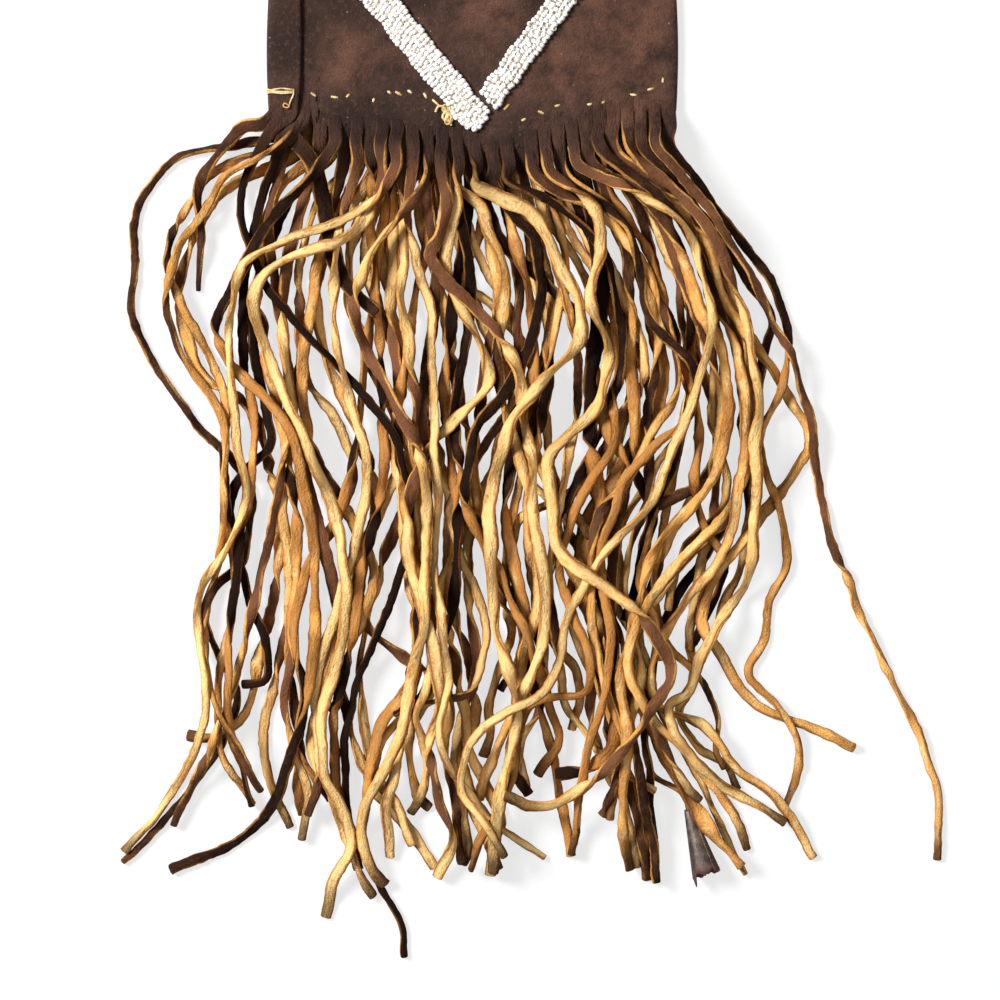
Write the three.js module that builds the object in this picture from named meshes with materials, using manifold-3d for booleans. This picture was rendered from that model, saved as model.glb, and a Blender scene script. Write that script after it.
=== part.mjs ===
// A beaded pipe bag of folded hide, lying flat: pouch, seam threads, bead bands, fringe and one tin cone.
// Millimetres, +Z up, +Y to the mouth, +X to the folded edge, the underside on z = 0.
import * as THREE from "three";
import { mergeVertices } from "three/addons/utils/BufferGeometryUtils.js";
import Module from "manifold-3d";

const wasm = await Module();
wasm.setup();

// Driving dimensions
const pouchWidth = 162;
const pouchLength = 360;
const pouchHeight = 10;
const hideThickness = 2;
const seamFlat = 32;
const overlapWidth = 13;
const overlapStep = 1.8;
const cornerRise = 18;
const threadSize = 0.8;
const stitchLength = 3;
const gap = 0.3;
const beadHeight = 2.1;
const thongWidth = 4.4;
const thongStep = 15;
const rootDrop = 6;
const cutPitch = 5.5;
const coneLength = 27;
const coneBaseRadius = 5.6;
const coneTipRadius = 1.5;
const coneWall = 0.4;

const layerGap = 0.5;
const seamHeight = 2 * hideThickness + layerGap + 0.1;
const halfWidth = pouchWidth / 2;
const mouthY = pouchLength / 2;
const foot = -pouchLength / 2;
const seamTop = foot + seamFlat;
const creaseX = -halfWidth + overlapWidth;

// The lower edge of the hide, where the cuts of the fringe begin, from the left to the folded right edge
const lowerEdge = [
  [-halfWidth, foot + cornerRise],
  [-57, foot + 12],
  [-29, foot + 10],
  [-1, foot + 2],
  [7, foot],
  [35, foot + 8],
  [59, foot + 14],
  [halfWidth, foot + cornerRise],
];

// Middle of each stitch that shows on the front, along the lower seam
const stitches = [
  [-61.8, foot + 24],
  [-55.4, foot + 23.6],
  [-49.8, foot + 24],
  [-39.4, foot + 22],
  [-33.6, foot + 24.6],
  [-28.4, foot + 24.6],
  [-23.4, foot + 24.6],
  [-19, foot + 24],
  [14, foot + 19.2],
  [20.6, foot + 14.6],
  [27.4, foot + 17.2],
  [33.8, foot + 20],
  [47, foot + 20.4],
  [52.2, foot + 21.2],
  [58.2, foot + 22.4],
  [64.2, foot + 24.4],
  [70, foot + 26.4],
  [75.6, foot + 28.6],
];

// Plan of each thong below its root, as x, y pairs with y from the foot
// The back layer lies under the front layer
const backRoutes = [
  [
    61, 0, 77, -20, 81, -42, 87, -62, 91, -82, 97, -102, 96, -122, 87, -138,
    78, -156, 71, -174, 67, -194, 73, -214, 69, -234, 72, -248, 81, -253, 85, -257, 86, -261,
  ],
  [
    -78, 8, -93, 5, -107, 2, -120, -2, -129, -12, -135, -23, -135, -43, -137, -60,
    -131, -77, -122, -92, -110, -108, -95, -124, -88, -136, -89, -146, -92, -162, -103, -173,
    -107, -186, -102, -200, -94, -218, -100, -234, -110, -250, -125, -268, -140, -283,
  ],
  [
    -73, 5, -93, -1, -105, -9, -116, -23, -122, -41, -117, -59, -107, -77, -100, -94,
    -99, -114, -99, -138, -95, -166, -97, -188, -101, -207, -102, -226, -99, -242, -93, -252,
    -88, -260,
  ],
  [
    -67, 3, -95, -11, -106, -21, -114, -38, -117, -56, -114, -75, -106, -90, -93, -98,
    -84, -114, -79, -134, -77, -154, -79, -174, -84, -194, -88, -214, -93, -226, -103, -233,
    -114, -232,
  ],
  [
    -62, 2, -79, -16, -84, -34, -86, -54, -84, -74, -80, -94, -75, -114, -72, -134,
    -70, -154, -71, -178, -73, -198, -72, -218, -69, -234, -70, -254, -68, -264,
  ],
  [
    -56, 1, -73, -18, -82, -38, -88, -58, -87, -82, -82, -104, -81, -117, -92, -127,
    -97, -139, -95, -156, -89, -178, -83, -194, -83, -210, -92, -212,
  ],
  [
    -50, -2, -63, -22, -69, -42, -69, -66, -67, -88, -56, -104, -48, -124, -52, -142,
    -64, -162, -70, -182, -73, -202, -75, -222, -71, -238, -66, -258, -68, -274,
  ],
  [
    -45, -4, -54, -24, -61, -46, -67, -70, -71, -94, -73, -118, -76, -142, -73, -166,
    -75, -190, -80, -214, -84, -234, -80, -254, -73, -269,
  ],
  [
    -39, -4, -51, -24, -62, -43, -62, -66, -56, -88, -47, -108, -40, -130, -41, -154,
    -47, -178, -53, -198, -51, -220, -45, -242, -32, -258, -24, -276,
  ],
  [
    -34, -4, -44, -22, -49, -40, -48, -62, -40, -84, -30, -106, -24, -124, -30, -146,
    -37, -166, -43, -188, -45, -210, -43, -230, -40, -253, -29, -265, -15, -285,
  ],
  [
    -28, -4, -39, -22, -43, -42, -35, -66, -27, -86, -21, -106, -29, -126, -39, -146,
    -46, -166, -44, -184, -31, -199, -15, -210, -24, -227, -30, -242, -34, -260, -33, -281,
  ],
  [
    -22, -7, -32, -24, -35, -44, -31, -66, -24, -90, -18, -110, -11, -126, -9, -146,
    -10, -166, -7, -186, -1, -204, 1, -222, -4, -240, -1, -258, 5, -272, 10, -286,
  ],
  [
    -16, -9, -21, -24, -16, -43, -11, -62, -8, -82, -4, -102, 0, -120, -1, -140,
    -8, -158, -13, -178, -8, -198, -4, -218, -1, -238, 6, -254, 11, -266, 7, -278,
  ],
  [
    -8, -12, -7, -28, -2, -46, 2, -62, 11, -80, 16, -98, 10, -118, 3, -138,
    -2, -162, -1, -182, 2, -202, -3, -222, -7, -242, -4, -262, -2, -276, -4, -284,
  ],
  [
    -1, -12, -2, -26, 4, -44, 13, -58, 19, -76, 18, -94, 9, -110, -1, -126,
    -9, -144, -4, -162, 3, -178, 5, -198, -1, -214, -13, -218, -27, -224, -37, -236,
    -39, -254,
  ],
  [
    6, -13, 3, -31, -4, -51, 8, -60, 19, -74, 24, -92, 21, -106, 17, -118,
    19, -126, 29, -136, 39, -142, 47, -152,
  ],
  [
    16, -10, 21, -28, 25, -48, 30, -70, 27, -88, 30, -114, 34, -138, 32, -162,
    27, -182, 29, -202, 27, -222, 19, -236, 21, -254,
  ],
  [
    25, -8, 32, -27, 43, -45, 52, -66, 60, -82, 64, -98, 54, -116, 43, -130,
    37, -144, 45, -162, 56, -178, 67, -198, 64, -218, 60, -238, 67, -258, 69, -278,
    70, -290,
  ],
  [
    30, -7, 37, -26, 47, -44, 57, -64, 67, -82, 71, -98, 63, -116, 52, -138,
    43, -158, 39, -178, 43, -198, 53, -218, 58, -236, 49, -245, 34, -248,
  ],
  [
    36, -5, 41, -22, 49, -40, 58, -58, 64, -80, 62, -102, 56, -122, 54, -142,
    59, -162, 56, -182, 51, -202, 47, -222, 51, -240, 61, -260, 66, -285,
  ],
  [
    42, -4, 48, -25, 56, -47, 67, -72, 68, -90, 58, -107, 49, -124, 40, -135,
    29, -140, 19, -146, 16, -158, 12, -169,
  ],
  [
    49, -3, 58, -28, 67, -46, 73, -70, 75, -94, 67, -114, 56, -130, 47, -146,
    43, -164, 47, -184, 55, -202, 67, -220, 79, -240, 91, -258, 99, -274, 108, -284,
  ],
  [
    55, -1, 70, -24, 80, -44, 84, -66, 87, -88, 83, -110, 73, -126, 63, -142,
    57, -160, 55, -178, 61, -198, 73, -218, 83, -236, 93, -254, 101, -272, 109, -288,
  ],
  [
    68, 2, 80, -16, 87, -27, 93, -43, 96, -62, 100, -82, 102, -100, 100, -120,
    97, -138, 94, -154, 90, -172, 87, -194, 88, -210, 83, -224, 91, -238, 102, -244,
    106, -254,
  ],
  [
    75, 2, 87, -18, 99, -32, 111, -51, 120, -66, 117, -78, 114, -98, 109, -118,
    106, -136, 100, -150, 91, -164, 81, -178, 75, -192, 71, -210, 69, -230, 71, -250,
    72, -270, 74, -291,
  ],
];
const frontRoutes = [
  [
    -84, 12, -91, 11, -97, 6, -103, -1, -108, -8, -110, -15, -109, -28, -109, -41,
    -110, -54,
  ],
  [
    -79, 11, -87, -2, -93, -18, -89, -37, -79, -57, -64, -74, -49, -90, -35, -106,
    -27, -126, -25, -150, -31, -174, -40, -196, -48, -218, -51, -242, -49, -266, -39, -289,
    -29, -307, -27, -321,
  ],
  [
    -73, 6, -87, -2, -98, -8, -108, -24, -118, -38, -122, -58, -119, -75, -108, -92,
    -100, -105, -99, -126, -100, -150, -103, -170, -107, -182, -107, -198, -103, -218, -95, -234,
    -89, -246, -84, -254,
  ],
  [
    -55, 4, -62, -6, -75, -20, -87, -36, -95, -52, -103, -68, -98, -82, -84, -96,
    -72, -112, -67, -135, -63, -160, -63, -188, -65, -214, -72, -238, -80, -260, -95, -275,
    -121, -286,
  ],
  [
    -46, -2, -51, -22, -55, -46, -55, -70, -50, -94, -43, -118, -43, -138, -48, -160,
    -55, -184, -62, -210, -62, -232, -56, -258, -48, -280, -40, -297,
  ],
  [
    -36, -6, -40, -23, -53, -35, -73, -41, -86, -52, -86, -69, -77, -91, -67, -114,
    -57, -138, -51, -164, -51, -186, -55, -206, -60, -224, -59, -246, -51, -264, -49, -278,
    -56, -292, -59, -305,
  ],
  [
    -30, -4, -36, -15, -51, -26, -73, -34, -91, -44, -96, -60, -97, -84, -94, -114,
    -91, -140, -99, -159, -109, -174, -109, -194, -106, -214, -110, -236, -123, -259, -139, -279,
  ],
  [
    -24, -7, -26, -24, -22, -43, -17, -62, -16, -86, -15, -114, -14, -142, -15, -168,
    -11, -194, -10, -212, -13, -232, -8, -247, 3, -260, 13, -271, 21, -276, 29, -281,
  ],
  [
    -18, -8, -22, -17, -33, -30, -43, -45, -47, -60, -43, -77, -33, -95, -23, -115,
    -18, -138, -19, -162, -19, -186, -24, -207, -27, -226, -34, -244, -42, -258, -44, -274,
    -40, -286, -35, -292,
  ],
  [
    -12, -9, -10, -19, -13, -32, -17, -40, -11, -49, -1, -60, 9, -70, 17, -84,
    21, -106, 24, -126, 24, -142, 27, -162, 29, -178, 28, -194, 23, -208, 19, -218,
    16, -234, 13, -249, 10, -266, 7, -288,
  ],
  [
    -6, -10, -7, -24, -11, -45, -5, -60, 5, -80, 6, -92, -7, -106, -19, -121,
    -25, -138, -26, -158, -21, -178, -15, -199, -13, -218, -17, -238, -13, -258, -8, -274,
    -14, -289,
  ],
  [
    8, -12, 17, -24, 25, -34, 27, -56, 23, -76, 13, -95, 2, -109, -1, -122,
    -3, -138, 5, -156, 11, -168, 21, -190, 29, -214, 34, -234, 26, -248,
  ],
  [
    14, -10, 23, -15, 36, -22, 50, -35, 56, -53, 60, -76, 57, -98, 55, -118,
    45, -134, 38, -150, 35, -168, 41, -186, 47, -202, 45, -214, 31, -217, 23, -220,
    18, -234, 16, -250, 10, -263, 3, -274, -1, -286,
  ],
  [
    25, -8, 56, -28, 69, -46, 78, -68, 82, -92, 73, -109, 64, -126, 51, -144,
    47, -164, 48, -186, 50, -204, 55, -218, 60, -236, 56, -254, 52, -264,
  ],
  [
    31, -7, 49, -22, 51, -38, 47, -58, 54, -78, 51, -98, 37, -114, 30, -122,
    32, -138, 33, -154, 40, -164, 55, -174, 71, -189, 79, -207, 71, -222, 57, -241,
    39, -256, 23, -260, 13, -256,
  ],
  [
    36, -6, 61, -28, 67, -48, 71, -66, 89, -88, 87, -103, 71, -118, 61, -130,
    55, -146, 51, -160, 53, -178, 55, -194, 53, -214, 47, -234, 43, -254, 40, -280,
  ],
  [
    42, -4, 66, -16, 83, -28, 92, -48, 95, -68, 90, -92, 81, -114, 73, -136,
    59, -152, 47, -168, 38, -184, 35, -202, 27, -215, 13, -223, -1, -235, -4, -254,
    3, -264, 13, -280,
  ],
  [
    47, -3, 72, -20, 83, -40, 91, -62, 99, -78, 102, -94, 101, -110, 98, -124,
    90, -138, 78, -150, 71, -162, 67, -178, 62, -194, 59, -214, 62, -234, 60, -254,
    60, -270, 63, -286,
  ],
  [
    53, -1, 76, -18, 87, -34, 97, -58, 105, -78, 109, -98, 108, -118, 106, -134,
    102, -154, 89, -174, 77, -191, 71, -206, 75, -220, 93, -229, 105, -244, 121, -257,
    129, -268, 137, -281,
  ],
  [
    58, 0, 78, -16, 91, -31, 100, -48, 108, -68, 111, -90, 111, -110, 106, -136,
    91, -154, 75, -172, 65, -188, 63, -210, 73, -226, 83, -236, 91, -246, 105, -264,
    110, -278,
  ],
  [
    63, 1, 81, -15, 94, -30, 105, -54, 111, -76, 114, -98, 113, -118, 113, -142,
    111, -162, 108, -174, 98, -188, 91, -202, 87, -214, 78, -220, 87, -240, 99, -251,
    117, -262, 125, -267,
  ],
  [
    68, 2, 84, -14, 93, -34, 100, -57, 114, -78, 127, -97, 135, -114, 131, -124,
    117, -143, 105, -158, 94, -174, 92, -188, 98, -198, 108, -214, 115, -221, 135, -229,
    153, -237,
  ],
  [
    73, 3, 87, -13, 100, -31, 113, -52, 121, -68, 129, -85, 135, -106, 138, -128,
    142, -148, 150, -170, 162, -198, 173, -220, 183, -243, 187, -264, 186, -282,
  ],
  [
    78, 5, 88, -9, 100, -24, 111, -39, 121, -53, 126, -70, 124, -92, 115, -114,
    118, -128, 125, -150, 126, -162, 119, -178, 117, -194, 110, -208, 123, -221, 131, -240,
    125, -262,
  ],
  [
    1, -12, 10, -17, 23, -23, 33, -41, 42, -59, 43, -73, 32, -87, 18, -103,
    11, -120, 7, -142, 8, -166, 10, -194, 17, -214, 17, -232, 12, -252, 9, -270,
    8, -287,
  ],
];

// The cone's lie, on the end of the first thong of the back layer, with its rim on the ground
const coneHeading = new THREE.Vector2(7.2, -25.8).normalize();
const coneTip = new THREE.Vector3(86.3, foot - 261.8, coneTipRadius + 0.5);
const coneRise = coneBaseRadius + 0.15 - coneTip.z;
const coneRun = Math.sqrt(coneLength ** 2 - coneRise ** 2);
const coneBase = new THREE.Vector3(
  coneTip.x + coneRun * coneHeading.x,
  coneTip.y + coneRun * coneHeading.y,
  coneTip.z + coneRise,
);

const hide = new THREE.MeshStandardMaterial({ color: 0x3e2a22, roughness: 0.92, metalness: 0 });
const thongHide = new THREE.MeshStandardMaterial({ color: 0xa8763c, roughness: 0.88, metalness: 0 });
const sinew = new THREE.MeshStandardMaterial({ color: 0xd2b478, roughness: 0.7, metalness: 0 });
const beads = new THREE.MeshStandardMaterial({ color: 0xece6dd, roughness: 0.25, metalness: 0 });
const tin = new THREE.MeshStandardMaterial({ color: 0x6e6962, roughness: 0.5, metalness: 0.8 });

const object = new THREE.Group();

function addMesh(name, geometry, material) {
  const mesh = new THREE.Mesh(geometry, material);
  mesh.name = name;
  object.add(mesh);
}

// A closed geometry as a solid that can be joined and cut
function solidOf(geometry) {
  const bare = geometry.clone();
  bare.deleteAttribute("normal");
  bare.deleteAttribute("uv");
  const merged = mergeVertices(bare, 1e-4);
  const vertProperties = new Float32Array(merged.attributes.position.array);
  const triVerts = new Uint32Array(merged.index.array);
  return new wasm.Manifold(new wasm.Mesh({ numProp: 3, vertProperties, triVerts }));
}

function geometryOf(solid) {
  const made = solid.getMesh();
  const geometry = new THREE.BufferGeometry();
  geometry.setAttribute("position", new THREE.BufferAttribute(made.vertProperties, made.numProp));
  geometry.setIndex(new THREE.BufferAttribute(made.triVerts, 1));
  return geometry;
}

function joined(solids) {
  return solids.reduce((sum, solid) => sum.add(solid));
}

// Prisms over a plan outline, along the length from a cross-section, and across from a side profile
function prismUp(shape, low, high) {
  const geometry = new THREE.ExtrudeGeometry(shape, { depth: high - low, bevelEnabled: false });
  return solidOf(geometry.translate(0, 0, low));
}

function prismAlong(shape, low, high) {
  const settings = { depth: high - low, bevelEnabled: false, curveSegments: 8 };
  const geometry = new THREE.ExtrudeGeometry(shape, settings);
  return solidOf(geometry.rotateX(Math.PI / 2).translate(0, high, 0));
}

function prismAcross(shape, reach) {
  const settings = { depth: 2 * reach, bevelEnabled: false, curveSegments: 6 };
  const geometry = new THREE.ExtrudeGeometry(shape, settings).translate(0, 0, -reach);
  const turn = new THREE.Matrix4().makeBasis(
    new THREE.Vector3(0, 1, 0),
    new THREE.Vector3(0, 0, 1),
    new THREE.Vector3(1, 0, 0),
  );
  return solidOf(geometry.applyMatrix4(turn));
}

function outline(points) {
  return new THREE.Shape(points.map(([x, y]) => new THREE.Vector2(x, y)));
}

// A straight level bar between two points, run on past both by half its size
function bar(from, to, size) {
  const run = new THREE.Vector3().subVectors(to, from);
  const middle = new THREE.Vector3().addVectors(from, to).multiplyScalar(0.5);
  const geometry = new THREE.BoxGeometry(run.length() + size, size, size);
  return solidOf(geometry.rotateZ(Math.atan2(run.y, run.x)).translate(middle.x, middle.y, middle.z));
}

// A path that runs straight from point to point and carries the section's two directions at each one
class FramedPath extends THREE.Curve {
  constructor(points, across, up) {
    super();
    this.points = points;
    this.across = across;
    this.up = up;
  }

  getPoint(t) {
    const place = t * (this.points.length - 1);
    const index = Math.min(Math.floor(place + 1e-6), this.points.length - 2);
    return new THREE.Vector3().lerpVectors(this.points[index], this.points[index + 1], place - index);
  }

  getPointAt(u) {
    return this.getPoint(u);
  }

  computeFrenetFrames() {
    return { tangents: this.points, normals: this.across, binormals: this.up };
  }
}

const upright = new THREE.Vector3(0, 0, 1);

function swept(section, points, across, up) {
  const extrudePath = new FramedPath(points, across, up);
  return new THREE.ExtrudeGeometry(section, { steps: points.length - 1, extrudePath });
}

// Unit directions level with the ground and square to the run at each point
function levelAcross(points, first) {
  const last = points.length - 1;
  return points.map((point, i) => {
    const after = points[Math.min(i + 1, last)];
    const run = i === 0 ? first : new THREE.Vector3().subVectors(after, points[i - 1]);
    return new THREE.Vector3().crossVectors(upright, run).normalize();
  });
}

function boxSection(width, low, high) {
  return outline([
    [-width / 2, low],
    [width / 2, low],
    [width / 2, high],
    [-width / 2, high],
  ]);
}

// Pouch: the outside, with the overlapped seam at the left, and the pocket inside
function pouchOutside(lift) {
  const section = new THREE.Shape();
  section.moveTo(-halfWidth, 0);
  section.lineTo(halfWidth, 0);
  section.lineTo(halfWidth, hideThickness);
  section.lineTo(halfWidth - 1, seamHeight - 0.8);
  section.lineTo(halfWidth - 3, seamHeight + 0.1);
  section.bezierCurveTo(60, pouchHeight - 1, 40, pouchHeight, 0, pouchHeight);
  section.bezierCurveTo(-30, pouchHeight, -50, pouchHeight - 1.6, creaseX, seamHeight + 1.4);
  section.lineTo(creaseX - 0.4, seamHeight + 1.4 + overlapStep);
  section.lineTo(-halfWidth + 2, seamHeight + 1);
  section.lineTo(-halfWidth, seamHeight - 0.2);
  const plan = outline([...lowerEdge, [halfWidth, mouthY], [-halfWidth, mouthY]]);
  const side = new THREE.Shape();
  side.moveTo(mouthY + 1, -1);
  side.lineTo(mouthY + 1, pouchHeight + 1);
  side.lineTo(foot + 90, pouchHeight + 1);
  side.quadraticCurveTo(seamTop + 16, seamHeight, seamTop, seamHeight);
  side.lineTo(foot - 1, seamHeight);
  side.lineTo(foot - 1, -1);
  const whole = prismAlong(section, foot - 1, mouthY + 1)
    .intersect(prismUp(plan, -1, pouchHeight + 2))
    .intersect(prismAcross(side, halfWidth + 1));
  return lift ? whole.translate([0, 0, lift]) : whole;
}

function pocket() {
  const ceiling = pouchHeight - hideThickness;
  const section = new THREE.Shape();
  section.moveTo(creaseX + 4, hideThickness);
  section.lineTo(halfWidth - 5, hideThickness);
  section.lineTo(halfWidth - 5, hideThickness + 0.8);
  section.bezierCurveTo(56, ceiling - 1, 40, ceiling, 0, ceiling);
  section.bezierCurveTo(-28, ceiling, -48, ceiling - 1.6, creaseX + 4, hideThickness + 1.6);
  const side = new THREE.Shape();
  side.moveTo(mouthY + 2, 0);
  side.lineTo(mouthY + 2, pouchHeight);
  side.lineTo(foot + 90, pouchHeight);
  side.quadraticCurveTo(seamTop + 24, hideThickness + 0.9, seamTop + 4, hideThickness + 0.7);
  side.lineTo(seamTop + 4, 0);
  return prismAlong(section, foot, mouthY + 1.5).intersect(prismAcross(side, halfWidth));
}

// Lower seam thread: up through the hide, along the front, down again and on along the underside
function seamThread(size) {
  const frontZ = seamHeight + gap + threadSize / 2;
  const backZ = gap + threadSize / 2;
  const corners = [];
  stitches.forEach(([x, y], i) => {
    const [nextX, nextY] = stitches[i + 1] ?? [x + 1, y + 0.3];
    const run = new THREE.Vector2(nextX - x, nextY - y).setLength(stitchLength / 2);
    corners.push(new THREE.Vector3(x - run.x, y - run.y, backZ));
    corners.push(new THREE.Vector3(x - run.x, y - run.y, frontZ));
    corners.push(new THREE.Vector3(x + run.x, y + run.y, frontZ));
    corners.push(new THREE.Vector3(x + run.x, y + run.y, backZ));
  });
  const flat = corners.map((corner) => corner.clone().setZ(0));
  const across = corners.map((corner, i) => {
    const group = 4 * Math.floor(i / 4);
    const run = new THREE.Vector3().subVectors(flat[group + 2], flat[group + 1]);
    return new THREE.Vector3().crossVectors(upright, run).normalize();
  });
  // At each right-angled corner the section leans half way between the two runs
  const lean = corners.map((corner, i) => {
    const ahead = new THREE.Vector3().crossVectors(across[i], upright);
    const side = i % 4 < 2 ? -1 : 1;
    return ahead.multiplyScalar(side).add(upright);
  });
  return solidOf(swept(boxSection(size, -size / 2, size / 2), corners, across, lean));
}

// Side seam thread, inside the overlap and open at the mouth
const sideThreadX = creaseX - overlapWidth / 2;
const sideThreadZ = hideThickness + 1.2;

function sideThread(size, past) {
  const low = new THREE.Vector3(sideThreadX, seamTop + 4, sideThreadZ);
  const high = new THREE.Vector3(sideThreadX, mouthY - 2 + past, sideThreadZ);
  return bar(low, high, size);
}

// Corner lashing: a flat band of sinew round the edge of the overlap and through a slit beside it
function lashing(spare) {
  const bandWidth = 3.2;
  const thick = 0.7;
  const lashY = foot + 25.6;
  const outerX = -halfWidth + 0.5;
  const innerX = outerX + 9.3;
  const lowZ = gap + thick / 2;
  const highZ = seamHeight + gap + thick / 2;
  const grow = 2 * spare;
  const block = (x, z, length, height) =>
    solidOf(
      new THREE.BoxGeometry(length + grow, bandWidth + grow, height + grow).translate(x, lashY, z),
    );
  const middleX = (outerX + innerX) / 2;
  const middleZ = (lowZ + highZ) / 2;
  const span = innerX - outerX + thick;
  const rise = highZ - lowZ + thick;
  return joined([
    block(middleX, lowZ, span, thick),
    block(middleX, highZ, span, thick),
    block(outerX, middleZ, thick, rise),
    block(innerX, middleZ, thick, rise),
  ]);
}

const spareSize = threadSize + 3 * gap;
const pouch = pouchOutside(0)
  .subtract(pocket())
  .subtract(seamThread(spareSize))
  .subtract(sideThread(spareSize, 6))
  .subtract(lashing(gap));
addMesh("hide_pouch", geometryOf(pouch), hide);
addMesh("bottom_seam_thread", geometryOf(seamThread(threadSize)), sinew);
addMesh("side_seam_thread", geometryOf(sideThread(threadSize, 0)), sinew);
addMesh("corner_lashing", geometryOf(lashing(0)), sinew);

// Bead bands: the two arms of the V, each a layer that follows the hide under it
const beadLayer = pouchOutside(gap + beadHeight).subtract(pouchOutside(gap));
const bandEnd = 4;
const leftArm = new THREE.Shape();
leftArm.moveTo(creaseX + 2, foot + 88);
leftArm.lineTo(-45, foot + 61.5);
leftArm.lineTo(-8.4, foot + 15.4);
leftArm.quadraticCurveTo(-4, foot + 7.6, 0, foot + 7.8);
leftArm.quadraticCurveTo(4, foot + 9, 7.4, foot + 16.2);
leftArm.lineTo(1.6, foot + 24.6);
leftArm.lineTo(-29.4, foot + 62);
leftArm.lineTo(creaseX + 2, foot + 107.6);
const rightArm = outline([
  [2.4, foot + 24.8],
  [8.2, foot + 16.8],
  [41.8, foot + 62],
  [halfWidth - bandEnd, foot + 110.4],
  [halfWidth - bandEnd, foot + 130.6],
  [27.8, foot + 62],
]);
const armTop = 2 * pouchHeight;
addMesh("bead_band_left", geometryOf(beadLayer.intersect(prismUp(leftArm, 0, armTop))), beads);
addMesh("bead_band_right", geometryOf(beadLayer.intersect(prismUp(rightArm, 0, armTop))), beads);

// Bead thread knot, with its loose end
function knot() {
  const radius = 1.8;
  const knotZ = seamHeight + gap + 0.65 * radius;
  const ball = new THREE.SphereGeometry(radius, 8, 6).scale(1, 1.2, 0.65).translate(-13.2, foot + 17, knotZ);
  const endZ = seamHeight + gap + threadSize / 2;
  const endFrom = new THREE.Vector3(-13.6, foot + 18, endZ);
  const endTo = new THREE.Vector3(-16.4, foot + 21.8, endZ);
  return solidOf(ball).add(bar(endFrom, endTo, threadSize));
}
addMesh("bead_thread_knot", geometryOf(knot()), sinew);

// Heights of what already lies on the surface, on a grid of small cells
const cell = 0.5;
const cellSpare = 0.75 * cell;
const cellRows = 4096;
const heights = new Map();

function eachCell(from, to, reach, visit) {
  const run = new THREE.Vector2(to.x - from.x, to.y - from.y);
  const lengthSquared = Math.max(run.lengthSq(), 1e-6);
  const lowX = Math.floor((Math.min(from.x, to.x) - reach) / cell);
  const highX = Math.ceil((Math.max(from.x, to.x) + reach) / cell);
  const lowY = Math.floor((Math.min(from.y, to.y) - reach) / cell);
  const highY = Math.ceil((Math.max(from.y, to.y) + reach) / cell);
  for (let i = lowX; i <= highX; i++) {
    for (let j = lowY; j <= highY; j++) {
      const x = i * cell - from.x;
      const y = j * cell - from.y;
      const along = THREE.MathUtils.clamp((x * run.x + y * run.y) / lengthSquared, 0, 1);
      if (Math.hypot(x - along * run.x, y - along * run.y) <= reach) {
        visit(i * cellRows + j, along);
      }
    }
  }
}

function highestUnder(from, to, reach) {
  let highest = 0;
  eachCell(from, to, reach, (key) => {
    highest = Math.max(highest, heights.get(key) ?? 0);
  });
  return highest;
}

function raise(from, to, reach, thickness) {
  const slope = Math.abs(to.z - from.z) / Math.max(Math.hypot(to.x - from.x, to.y - from.y), 1);
  eachCell(from, to, reach, (key, along) => {
    const top = THREE.MathUtils.lerp(from.z, to.z, along) + thickness + slope * cell + gap;
    heights.set(key, Math.max(heights.get(key) ?? 0, top));
  });
}

// Tin cone on the end of one thong: rolled sheet, open at both ends
function tinCone() {
  const profile = [
    [coneTipRadius, 0],
    [coneBaseRadius, coneLength],
    [coneBaseRadius - coneWall, coneLength],
    [coneTipRadius - coneWall, 0],
    [coneTipRadius, 0],
  ].map(([r, along]) => new THREE.Vector2(r, along));
  const axis = new THREE.Vector3().subVectors(coneBase, coneTip).normalize();
  const turn = new THREE.Quaternion().setFromUnitVectors(new THREE.Vector3(0, 1, 0), axis);
  const geometry = new THREE.LatheGeometry(profile, 14);
  return geometry.applyQuaternion(turn).translate(coneTip.x, coneTip.y, coneTip.z);
}
addMesh("tin_cone", geometryOf(solidOf(tinCone())), tin);
const coneFoot = new THREE.Vector3(coneTip.x, coneTip.y, 0);
const coneHead = new THREE.Vector3(coneBase.x, coneBase.y, 0);

function edgeY(x) {
  const after = Math.max(lowerEdge.findIndex(([edgeX]) => edgeX >= x), 1);
  const [x0, y0] = lowerEdge[after - 1];
  const [x1, y1] = lowerEdge[after];
  return THREE.MathUtils.mapLinear(x, x0, x1, y0, y1);
}

// One thong: from its root in the lower edge along its plan, over whatever lies there already
function thong(route, rootX, rootZ) {
  const halfThong = thongWidth / 2;
  const rootY = Math.min(edgeY(rootX - halfThong), edgeY(rootX), edgeY(rootX + halfThong)) - gap;
  const root = new THREE.Vector3(rootX, rootY, 0);
  const plan = [new THREE.Vector3(rootX, rootY - rootDrop, 0)];
  for (let i = 0; i < route.length; i += 2) {
    plan.push(new THREE.Vector3(route[i], foot + route[i + 1], 0));
  }
  const curve = new THREE.CatmullRomCurve3(plan, false, "centripetal");
  const points = [root, ...curve.getSpacedPoints(Math.round(curve.getLength() / thongStep))];
  const reach = halfThong + cellSpare;
  const under = points.slice(1).map((point, i) => highestUnder(points[i], point, reach));
  points.forEach((point, i) => {
    point.z = i === 0 ? rootZ : Math.max(under[i - 1], under[i] ?? 0);
  });
  points.slice(1).forEach((point, i) => raise(points[i], point, reach, hideThickness));
  const across = levelAcross(points, new THREE.Vector3(0, -1, 0));
  const up = points.map(() => upright);
  return swept(boxSection(thongWidth, 0, hideThickness), points, across, up);
}

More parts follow.
